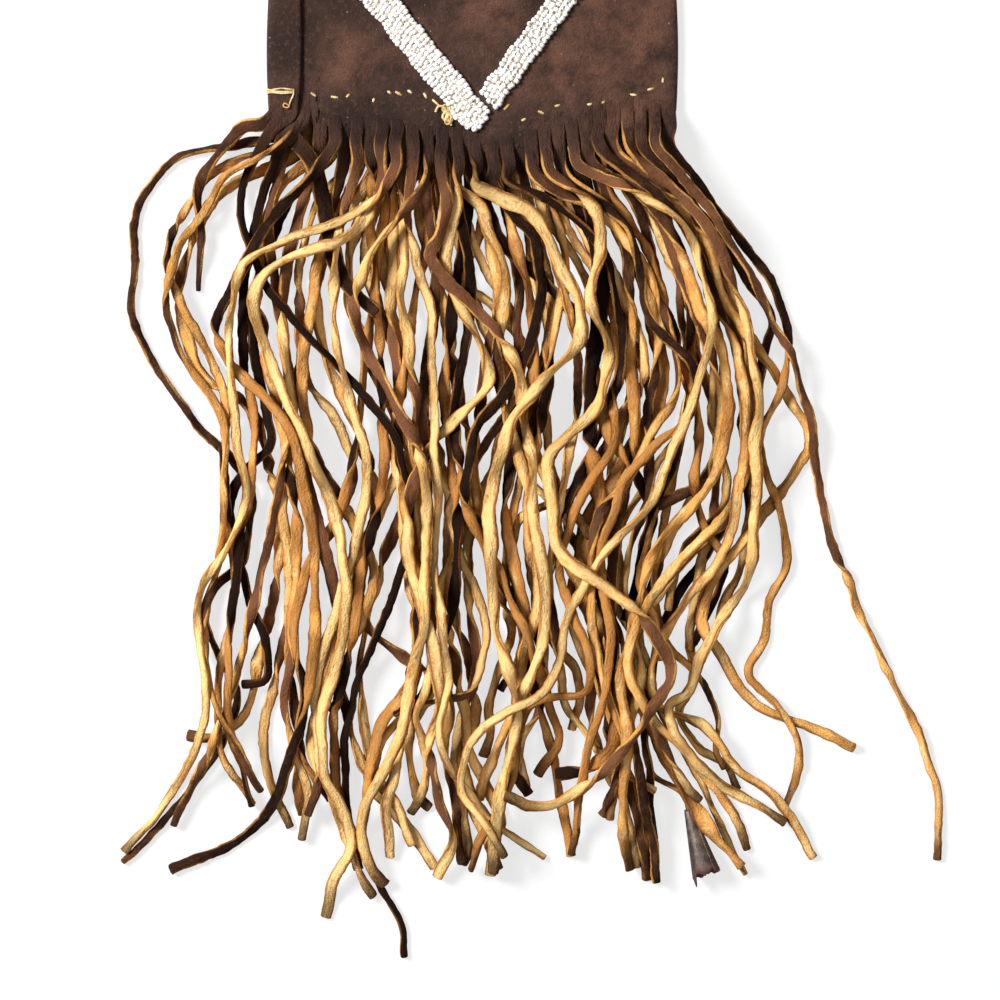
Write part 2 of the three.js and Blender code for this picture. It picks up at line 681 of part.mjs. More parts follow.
// Roots stand over the thongs' starts, pushed apart to the pitch of the cuts and kept inside the edge
function rootPlaces(routes) {
  const places = routes.map((route) => ({ route, x: route[0] })).sort((a, b) => a.x - b.x);
  const limit = halfWidth - thongWidth / 2 - gap;
  let last = -limit - cutPitch;
  places.forEach((place) => {
    place.x = Math.max(place.x, last + cutPitch);
    last = place.x;
  });
  last = limit + cutPitch;
  places.toReversed().forEach((place) => {
    place.x = Math.min(place.x, last - cutPitch);
    last = place.x;
  });
  return places;
}

// Fringe: named from left to right, with every second thong of a layer laid over its neighbours
function layFringe(name, routes, rootZ) {
  const places = rootPlaces(routes);
  const turns = [0, 1];
  turns.forEach((turn) => {
    places.forEach(({ route, x }, i) => {
      if (i % turns.length === turn) {
        addMesh(name + "_" + (i + 1), thong(route, x, rootZ), thongHide);
      }
    });
  });
}
layFringe("back_thong", backRoutes, 0);
raise(coneFoot, coneHead, coneBaseRadius + cellSpare, 2 * coneBaseRadius);
layFringe("front_thong", frontRoutes, hideThickness + layerGap);

export default object;
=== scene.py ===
import math

import bmesh
import bpy
import numpy as np
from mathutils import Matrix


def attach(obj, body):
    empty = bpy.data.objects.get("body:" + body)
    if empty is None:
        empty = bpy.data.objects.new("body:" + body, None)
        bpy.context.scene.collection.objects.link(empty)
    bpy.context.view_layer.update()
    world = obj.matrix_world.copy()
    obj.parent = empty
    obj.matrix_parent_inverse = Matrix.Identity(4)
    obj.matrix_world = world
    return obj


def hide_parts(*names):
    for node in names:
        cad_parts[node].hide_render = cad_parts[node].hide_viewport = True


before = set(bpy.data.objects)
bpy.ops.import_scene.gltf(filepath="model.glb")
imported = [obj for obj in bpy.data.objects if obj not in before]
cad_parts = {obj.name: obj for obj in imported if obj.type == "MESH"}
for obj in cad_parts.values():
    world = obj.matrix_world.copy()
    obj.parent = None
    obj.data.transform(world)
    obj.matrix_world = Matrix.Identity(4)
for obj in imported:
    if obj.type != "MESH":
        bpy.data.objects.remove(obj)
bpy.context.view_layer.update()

foot = -0.18         # lowest point of the hide
mouth = 0.18         # open end of the pouch
halfWidth = 0.081    # half of the pouch
sideInset = 0.0025   # from its outermost line to where each side begins to turn over
print("frame loaded:", len(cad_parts), "nodes")


# Nodes: one function for any tree, one class for sums and products of sockets
def putNode(tree, kind, settings=None, inputs=None):
    node = tree.nodes.new(kind)
    for key, value in (settings or {}).items():
        setattr(node, key, value)
    for key, value in (inputs or {}).items():
        if isinstance(value, Wire):
            value = value.socket
        if isinstance(value, bpy.types.NodeSocket):
            tree.links.new(value, node.inputs[key])
        else:
            node.inputs[key].default_value = value
    return node


class Wire:
    def __init__(self, tree, socket):
        self.tree = tree
        self.socket = socket

    def node(self, kind, settings=None, inputs=None, output=0):
        return Wire(self.tree, putNode(self.tree, kind, settings, inputs).outputs[output])

    def math(self, operation, *values):
        return self.node("ShaderNodeMath", {"operation": operation}, dict(enumerate(values)))

    def __add__(self, other):
        return self.math("ADD", self, other)

    def __sub__(self, other):
        return self.math("SUBTRACT", self, other)

    def __mul__(self, other):
        return self.math("MULTIPLY", self, other)

    def __truediv__(self, other):
        return self.math("DIVIDE", self, other)

    def __radd__(self, other):
        return self.math("ADD", other, self)

    def __rsub__(self, other):
        return self.math("SUBTRACT", other, self)

    def __rmul__(self, other):
        return self.math("MULTIPLY", other, self)

    def __rtruediv__(self, other):
        return self.math("DIVIDE", other, self)

    # 0 below low, 1 above high, eased between
    def between(self, low, high):
        settings = {"interpolation_type": "SMOOTHSTEP"}
        return self.node("ShaderNodeMapRange", settings, {0: self, 1: low, 2: high})

    # this wire as the share of the second colour
    def blend(self, first, second):
        return self.node("ShaderNodeMix", {"data_type": "RGBA"}, {0: self, 6: first, 7: second}, 2)

    # this wire as a place in space
    def noise(self, scale, detail, roughness):
        inputs = {"Vector": self, "Scale": scale, "Detail": detail, "Roughness": roughness}
        return self.node("ShaderNodeTexNoise", None, inputs)

    def stretched(self, scale):
        return self.node("ShaderNodeMapping", None, {"Vector": self, "Scale": scale})

    def parts(self):
        split = putNode(self.tree, "ShaderNodeSeparateXYZ", None, {0: self})
        return [Wire(self.tree, socket) for socket in split.outputs]


class Finish:
    def __init__(self, name, fixed):
        self.material = bpy.data.materials.new(name)
        self.material.use_nodes = True
        self.tree = self.material.node_tree
        self.shader = self.tree.nodes["Principled BSDF"]
        for key, value in fixed.items():
            self.shader.inputs[key].default_value = value

    def place(self):
        return Wire(self.tree, putNode(self.tree, "ShaderNodeTexCoord").outputs["Object"])

    def attribute(self, name):
        node = putNode(self.tree, "ShaderNodeAttribute", {"attribute_name": name})
        return Wire(self.tree, node.outputs["Vector"])

    def feed(self, colour, roughness, height, bump):
        inputs = {"Height": height, "Distance": bump[0], "Strength": bump[1]}
        normal = height.node("ShaderNodeBump", None, inputs)
        for key, wire in (("Base Color", colour), ("Roughness", roughness), ("Normal", normal)):
            self.tree.links.new(wire.socket, self.shader.inputs[key])
        return self.material


# A colour from its screen values, made linear
def shade(red, green, blue):
    def linear(part):
        part /= 255
        return part / 12.92 if part < 0.04045 else ((part + 0.055) / 1.055) ** 2.4

    return (linear(red), linear(green), linear(blue), 1.0)


# Smoked hide of the pouch: brown-black, mottled, warmer in worn patches, with pale specks
hideLook = {
    "black": shade(46, 34, 31),
    "dark": shade(51, 37, 32),
    "brown": shade(88, 62, 52),
    "worn": shade(122, 84, 65),
    "speck": shade(170, 150, 135),
    "broadScale": 26,
    "mottleScale": 95,
    "poreScale": 520,
    "napScale": 1500,
    "speckScale": 420,
    "bump": (0.0010, 0.85),     # depth and strength
    "frontLevel": 0.006,        # height of the front, where the patches lie
    "patchShare": 0.75,         # of a patch's own colour at its middle
    "patches": [                # middle and reach of each worn place on the front
        (-0.050, foot + 0.038, 0.016), (-0.026, foot + 0.046, 0.014), (0.006, foot + 0.060, 0.020),
        (0.034, foot + 0.036, 0.018), (0.046, foot + 0.056, 0.020), (0.062, foot + 0.022, 0.020),
        (0.066, foot + 0.042, 0.020), (0.070, foot + 0.062, 0.018), (0.048, foot + 0.034, 0.012),
        (-0.040, foot + 0.120, 0.040), (0.030, foot + 0.190, 0.050), (-0.020, foot + 0.280, 0.045),
    ],
    "darkPatches": [                  # darker patches, most of them near the foot where the cuts begin
        (-0.030, foot + 0.014, 0.018), (-0.008, foot + 0.008, 0.014), (-0.074, foot + 0.050, 0.024),
        (-0.050, foot + 0.020, 0.014), (-0.046, foot + 0.060, 0.018), (0.018, foot + 0.040, 0.012),
        (0.020, foot + 0.010, 0.012), (0.010, foot + 0.130, 0.040), (-0.020, foot + 0.200, 0.040),
    ],
}


def patches(place, middles):
    most = None
    for x, y, reach in middles:
        inputs = {0: place, 1: (x, y, hideLook["frontLevel"])}
        away = place.node("ShaderNodeVectorMath", {"operation": "DISTANCE"}, inputs, "Value")
        patch = 1 - away.between(0.15 * reach, 1.25 * reach)
        most = patch if most is None else most.math("MAXIMUM", most, patch)
    return most


def hideColour(place):
    broad = place.noise(hideLook["broadScale"], 3, 0.6)
    mottle = place.noise(hideLook["mottleScale"], 5, 0.6)
    tone = (0.55 * broad + 0.45 * mottle).between(0.38, 0.64)
    colour = tone.blend(hideLook["dark"], hideLook["brown"])
    # darker in the listed patches
    darkPatches = patches(place, hideLook["darkPatches"]) * mottle.between(0.2, 0.6) * hideLook["patchShare"]
    colour = darkPatches.blend(colour, hideLook["black"])
    worn = patches(place, hideLook["patches"]) * mottle.between(0.25, 0.75) * hideLook["patchShare"]
    return worn.blend(colour, hideLook["worn"]), mottle


def hideFinish():
    finish = Finish("smoked_hide", {"Specular IOR Level": 0.15, "Sheen Weight": 0.05})
    place = finish.place()
    colour, mottle = hideColour(place)
    cells = {"Vector": place, "Scale": hideLook["speckScale"]}
    dots = putNode(finish.tree, "ShaderNodeTexVoronoi", {"feature": "F1"}, cells)
    near = Wire(finish.tree, dots.outputs["Distance"])
    pick = Wire(finish.tree, dots.outputs["Color"]).parts()[0]
    specks = (1 - near.between(0.06, 0.18)) * pick.between(0.87, 0.95) * 0.7
    nap = place.noise(hideLook["napScale"], 2, 0.6)
    pores = place.noise(hideLook["poreScale"], 3, 0.6)
    colour = (0.28 * pores.between(0.5, 0.7)).blend(colour, hideLook["worn"])
    colour = (0.35 * (1 - nap.between(0.34, 0.54))).blend(colour, hideLook["black"])
    colour = specks.blend(colour, hideLook["speck"])
    height = 0.5 * nap + 0.6 * pores + 0.8 * mottle
    return finish.feed(colour, 0.8 + 0.18 * pores, height, hideLook["bump"])


# Thongs: brown grain on one face, golden flesh on the other, paler cut edges, hide colour near the root
thongLook = {
    "grainDark": shade(34, 19, 11),
    "grainBrown": shade(130, 85, 57),
    "flesh": shade(246, 177, 92),
    "fleshPale": shade(255, 210, 136),
    # brown for stains and scrapes, and for painted shade towards the sides
    "fleshBrown": shade(174, 113, 57),
    # painted highlight for the middle of the flesh face
    "paintedHighlight": shade(255, 226, 166),
    "edge": shade(240, 178, 96),
    # painted shade at the sides of the flesh face
    "rim": shade(98, 54, 22),
    # colour of the smoked pouch, also painted shade in the slits between the roots
    "smoked": shade(74, 48, 32),
    "tip": shade(62, 36, 22),
    "streakScale": 480,
    "mottleScale": 360,
    "longScale": 44,
    "napScale": 1150,
    "shadeLean": 300,            # how much more painted shade one side of a strip gets than the other, per metre across
    "bump": (0.0012, 1.0),
}


def thongFinish():
    finish = Finish("thong_hide", {"Specular IOR Level": 0.1})
    strip = finish.attribute("strip")              # metres along, across and through the strip
    look = finish.attribute("look")                # face from flesh -1 to grain 1, tone, own number
    toTip = finish.attribute("toTip").parts()[0]   # metres to the tip
    along, across, through = strip.parts()
    face, tone, own = look.parts()
    place = along.node("ShaderNodeCombineXYZ", None, {0: along + 5 * own, 1: across, 2: through})
    streak = place.stretched((0.3, 1.0, 1.0)).noise(thongLook["streakScale"], 3, 0.6)
    mottle = place.stretched((0.6, 1.0, 1.0)).noise(thongLook["mottleScale"], 4, 0.65)
    long = place.stretched((1.0, 0.3, 0.3)).noise(thongLook["longScale"], 2, 0.5)
    nap = place.noise(thongLook["napScale"], 3, 0.65)

    # flesh: gold, paler in streaks and fibres, with a painted highlight along the middle of the flesh face,
    # browner in long stained stretches and scrapes
    gold = (0.45 * streak + 0.4 * mottle + 0.15 * nap + 0.4 * tone).between(0.38, 0.6)
    flesh = gold.blend(thongLook["flesh"], thongLook["fleshPale"])
    # painted highlight: paler along the middle of the flesh face, in streaks
    paintedHighlight = (0.6 * streak + 0.4 * nap).between(0.48, 0.62) * (0 - face).between(0.2, 0.9)
    flesh = (paintedHighlight * 0.7).blend(flesh, thongLook["paintedHighlight"])
    dirty = (long + 0.3 * mottle - 0.6 * tone).between(0.62, 0.86) * 0.75
    flesh = dirty.blend(flesh, thongLook["fleshBrown"])
    scrape = (0.5 * streak + 0.5 * mottle).between(0.54, 0.64) * 0.6
    flesh = scrape.blend(flesh, thongLook["fleshBrown"])
    # painted shade: brown towards the sides of the rounded strip, more on one side than on the other,
    # changing along the strip
    lean = face + 0.5 * (long - 0.5) + across * thongLook["shadeLean"] * (own - 0.5)
    lean = lean + 0.7 * (mottle - 0.5) + 0.2 * (nap - 0.5)
    flesh = (lean.between(-0.95, -0.4) * 0.8).blend(flesh, thongLook["fleshBrown"])
    flesh = (lean.between(-0.55, -0.05) * 0.9).blend(flesh, thongLook["rim"])
    # grain: brown, darker on some strips than on others
    grain = (0.45 * long + 0.3 * mottle + 0.5 * tone + 0.25 * own).between(0.3, 0.72)
    grain = grain.blend(thongLook["grainDark"], thongLook["grainBrown"])
    grainSide = (face + 0.2 * (mottle - 0.5)).between(0.12, 0.4)
    colour = grainSide.blend(flesh, grain)
    # pale cut edges, left out at the root and on the darkest strips
    cut = face - 0.06
    cut = 1 - cut.math("ABSOLUTE", cut).between(0.2, 0.5)
    cut = cut * (0.6 * long + 0.4 * mottle).between(0.4, 0.58)
    cut = cut * (along + 0.03 * (long - 0.5)).between(0.012, 0.028)
    cut = cut * (tone + 0.6 * own).between(-0.3, 0.3)
    # coloured like the smoked pouch near the root and darkened further there as painted shade in the slits
    # between the roots; dark at the tip
    smokeAndShade = (1 - (along + 0.04 * (long - 0.5)).between(0.010, 0.042)) * 0.8
    colour = smokeAndShade.blend(colour, thongLook["smoked"])
    asHide = 1 - (along + 0.012 * (mottle - 0.5)).between(0.012, 0.030)
    pouchColour, _ = hideColour(finish.place())
    colour = (asHide * face.between(0.1, 0.5)).blend(colour, pouchColour)
    colour = (cut * 0.9).blend(colour, thongLook["edge"])
    endDark = 1 - (toTip + 0.02 * (mottle - 0.5)).between(0.001, 0.019)
    endDark = endDark * own.between(0.15, 0.7) * 0.9
    colour = endDark.blend(colour, thongLook["tip"])
    height = 0.6 * nap + 0.8 * streak + 0.7 * mottle
    return finish.feed(colour, 0.8 + 0.2 * streak, height, thongLook["bump"])


# Sinew: pale yellow and fibrous. The bead thread is paler and greyer.
sinewLook = {
    "sinew": (shade(206, 162, 96), shade(248, 228, 176), shade(134, 92, 46)),      # deep, pale, stain
    "beadThread": (shade(172, 148, 118), shade(226, 214, 192), shade(112, 88, 66)),
    "fibreScale": 2600,
    "patchScale": 260,
    "bump": (0.0002, 0.8),
}


def sinewFinish(name, colours):
    deep, pale, stain = colours
    finish = Finish(name, {"Specular IOR Level": 0.35})
    place = finish.place()
    fibre = place.noise(sinewLook["fibreScale"], 3, 0.7)
    patch = place.noise(sinewLook["patchScale"], 2, 0.5)
    colour = patch.between(0.35, 0.65).blend(deep, pale)
    colour = (fibre.between(0.5, 0.8) * 0.5).blend(colour, stain)
    return finish.feed(colour, 0.5 + 0.25 * fibre, fibre, sinewLook["bump"])


# Seed beads: opaque warm white glass, a little stained
beadLook = {
    "white": shade(253, 251, 247),
    "bright": shade(255, 254, 252),
    "stain": shade(214, 192, 162),
    "tintScale": 330,
    "smudgeScale": 1500,
    "bump": (0.00008, 0.4),
}


def beadFinish():
    finish = Finish("white_glass", {"Specular IOR Level": 0.5, "Coat Weight": 0.2})
    place = finish.place()
    tint = place.noise(beadLook["tintScale"], 2, 0.6)
    smudge = place.noise(beadLook["smudgeScale"], 2, 0.5)
    colour = tint.between(0.4, 0.6).blend(beadLook["white"], beadLook["bright"])
    colour = (smudge.between(0.62, 0.8) * 0.25).blend(colour, beadLook["stain"])
    return finish.feed(colour, 0.16 + 0.2 * smudge, smudge, beadLook["bump"])


# Rolled tin: dull grey, rusted towards the rim
tinLook = {
    "grey": shade(80, 68, 62),
    "pale": shade(128, 116, 106),
    "rust": shade(98, 46, 34),
    "rustRange": (1.0, 1.4),    # share of the way to the rim, and a cloud added to it
    "cloudScale": 190,
    "scratchScale": 1500,
    "bump": (0.0005, 0.8),
}


def tinFinish():
    finish = Finish("old_tin", {})
    place = finish.place()
    rim = finish.attribute("strip").parts()[0]
    cloud = place.noise(tinLook["cloudScale"], 4, 0.65)
    scratch = place.stretched((1.0, 0.12, 1.0)).noise(tinLook["scratchScale"], 2, 0.6)
    colour = cloud.between(0.35, 0.7).blend(tinLook["grey"], tinLook["pale"])
    rust = (rim + 0.5 * cloud).between(*tinLook["rustRange"])
    colour = rust.blend(colour, tinLook["rust"])
    metal = 0.7 - 0.6 * rust
    finish.tree.links.new(metal.socket, finish.shader.inputs["Metallic"])
    roughness = 0.5 + 0.35 * rust + 0.15 * scratch
    return finish.feed(colour, roughness, cloud + 0.3 * scratch, tinLook["bump"])


hideMaterial = hideFinish()
thongMaterial = thongFinish()
sinewMaterial = sinewFinish("sinew", sinewLook["sinew"])
beadThread = sinewFinish("bead_thread", sinewLook["beadThread"])
beadMaterial = beadFinish()
tinMaterial = tinFinish()
print("finishes made")


# Floor, light and the camera, which looks straight down as the photograph does
stage = {
    "viewMiddle": (0.011, -0.318),
    "viewSize": 0.4,
    "viewLevel": 0.005,
    "cameraHeight": 2.4,
    "sensor": 36,
    "farthest": 20,
    "floorSize": 6.0,
    "floorColour": (0.95, 0.95, 0.95, 1),
    "floorGlow": 0.72,          # share of plain white that the camera sees on the floor
    "worldLight": 0.19,
    "white": (1, 1, 1, 1),
    "key": {"place": (-2.0, 0.65, 2.05), "aim": (0, -0.3, 0), "size": 1.1, "power": 134.0},
    "fill": {"place": (0.95, -0.6, 1.3), "aim": (0, -0.25, 0), "size": 1.2, "power": 4.0},
}


# Plain light for the object, and white where the camera looks
def whiteForCamera(tree, share, lit, glow):
    path = putNode(tree, "ShaderNodeLightPath")
    seen = Wire(tree, path.outputs["Is Camera Ray"])
    glowing = putNode(tree, glow, None, {"Color": stage["white"], "Strength": 1.0})
    inputs = {0: seen * share, 1: lit.outputs[0], 2: glowing.outputs[0]}
    return putNode(tree, "ShaderNodeMixShader", None, inputs).outputs[0]


def makeFloor():
    mesh = bpy.data.meshes.new("floor")
    half = stage["floorSize"] / 2
    corners = [(-half, -half, 0), (half, -half, 0), (half, half, 0), (-half, half, 0)]
    mesh.from_pydata(corners, [], [(0, 1, 2, 3)])
    floor = bpy.data.objects.new("floor", mesh)
    bpy.context.collection.objects.link(floor)
    finish = Finish("white_floor", {"Base Color": stage["floorColour"], "Roughness": 0.9})
    surface = whiteForCamera(finish.tree, stage["floorGlow"], finish.shader, "ShaderNodeEmission")
    finish.tree.links.new(surface, finish.tree.nodes["Material Output"].inputs["Surface"])
    mesh.materials.append(finish.material)


def makeWorld():
    world = bpy.data.worlds.new("studio")
    bpy.context.scene.world = world
    world.use_nodes = True
    sky = world.node_tree
    light = sky.nodes["Background"]
    light.inputs["Strength"].default_value = stage["worldLight"]
    light.inputs["Color"].default_value = stage["white"]
    surface = whiteForCamera(sky, 1.0, light, "ShaderNodeBackground")
    sky.links.new(surface, sky.nodes["World Output"].inputs["Surface"])


def areaLight(name, given):
    lamp = bpy.data.lights.new(name, "AREA")
    lamp.shape = "DISK"
    lamp.size = given["size"]
    lamp.energy = given["power"]
    light = bpy.data.objects.new(name, lamp)
    bpy.context.collection.objects.link(light)
    light.location = given["place"]
    look = np.array(given["aim"]) - np.array(given["place"])
    turn = math.atan2(look[1], look[0])
    drop = math.atan2(math.hypot(look[0], look[1]), -look[2])
    light.rotation_euler = (drop, 0, turn - math.pi / 2)


def makeCamera():
    x, y = stage["viewMiddle"]
    data = bpy.data.cameras.new("camera")
    data.sensor_width = stage["sensor"]
    data.lens = stage["sensor"] * (stage["cameraHeight"] - stage["viewLevel"]) / stage["viewSize"]
    data.clip_end = stage["farthest"]
    camera = bpy.data.objects.new("camera", data)
    bpy.context.collection.objects.link(camera)
    camera.location = (x, y, stage["cameraHeight"])
    bpy.context.scene.camera = camera


makeFloor()
makeWorld()
areaLight("key", stage["key"])
areaLight("fill", stage["fill"])
makeCamera()
bpy.context.scene.view_settings.view_transform = "Standard"
print("stage and camera set")


def addObject(name, mesh, material=None):
    piece = bpy.data.objects.new(name, mesh)
    bpy.context.collection.objects.link(piece)
    if material:
        mesh.materials.append(material)
    return piece


def smoothShaded(mesh):
    mesh.polygons.foreach_set("use_smooth", [True] * len(mesh.polygons))
    mesh.update()


# Faces of an open grid of points, listed row by row
def gridFaces(rows, count):
    faces = []
    for i in range(rows - 1):
        for j in range(count - 1):
            a = i * count + j
            faces.append((a, a + 1, a + count + 1, a + count))
    return faces


# The evaluated shape as a plain mesh, with the modifiers gone
def settled(piece):
    shape = piece.evaluated_get(bpy.context.evaluated_depsgraph_get())
    mesh = bpy.data.meshes.new_from_object(shape)
    piece.modifiers.clear()
    piece.data = mesh
    work = bmesh.new()
    work.from_mesh(mesh)
    bmesh.ops.recalc_face_normals(work, faces=work.faces)
    work.to_mesh(mesh)
    work.free()
    smoothShaded(mesh)
    return piece


# A sheet given its thickness, half to each side
def thickened(piece, thickness):
    skin = piece.modifiers.new("thickness", "SOLIDIFY")
    skin.thickness = thickness
    skin.offset = 0
    return settled(piece)


# Fringe: strips of hide cut from the lower edge, each laid along its route over what lies there already
fringe = {
    "width": 0.0044,
    "rootWidth": 0.0049,
    "thickness": 0.0020,
    "rootThickness": 0.0019,
    "rootDrop": 0.006,              # a root goes down this far before it follows its route
    "dropRoom": 0.01,               # and only where the route begins further down than this
    "rootLean": 0.0010,
    "rootEnds": (0.002, 0.038),     # a root becomes a free strip between these lengths below the hide
    "freeFrom": (0.012, 0.04),      # drift and curl come in between these lengths
    "rollFrom": (0.011, 0.026),
    "heldBy": (-0.003, 0.012),      # the hide lets go of a root between these lengths
    "step": 0.0016,
    "cutPitch": 0.0055,
    "slit": 0.0016,
    "slitRise": (0.001, 0.0068),    # least and most that a slit goes up into the hide
    "slitSide": -0.0006,            # the hide's edge beside a slit
    "tuck": 0.0095,                 # length of each root inside the hide
    "lapEdge": -0.0685,             # roots to the left of this leave the lap, which lies higher
    "lapRise": 0.0014,
    "rootLevel": {"back": 0.0011, "between": 0.0026, "front": 0.0036},
    "rootUp": {"back": "flesh", "between": "grain", "front": "grain"},
    "seed": 7,
    "firstSeed": {"back": 0, "between": 200, "front": 100},
    "cell": 0.0005,
    "sag": 17.0,                    # fall of a strip beside what it lies on, per metre squared
    "clear": 0.0002,                # air between a strip and what it lies on
    "pressed": 0.94,                # share of its height that a strip keeps under the next one
    "sidePoints": 14,
    "endSize": 0.6,                 # the last ring at each end, which rounds the cut
    "endPush": (-0.0003, 0.0004),
    # random draws: least and most
    "wideSpread": (0.8, 1.22),
    "rootSpread": (0.95, 1.22),
    "thickSpread": (0.9, 1.2),
    "toneSpread": (-0.2, 0.25),
    # turns: where the first one falls, and the face that shows between two others
    "turnLength": 0.024,
    "turnSpread": (0.35, 0.65),
    "firstTurn": (0.020, 0.050),
    "nextTurn": (0.075, 0.14),
    "otherFace": {"flesh": (0.016, 0.04), "grain": (0.025, 0.07)},
    "turnGap": (0.035, 0.1),
    "noTurn": 0.03,                 # length at the tip without a turn
    "sameWay": 0.6,                 # chance that the next turn goes the same way
    # waves along a strip: length and amount
    "drift": (0.03, 0.0004),
    "fineDrift": (0.013, 0.0001),
    "widening": (0.05, 0.12),
    "fineWidening": (0.011, 0.045),
    "thickening": (0.03, 0.08),
    "wobble": (0.05, 0.95),
    "curl": (0.08, 0.00035),
    "ragged": (0.006, 0.00013),
    "nicks": 0.00006,
    "taper": 0.12,
    "taperFrom": 0.6,
}

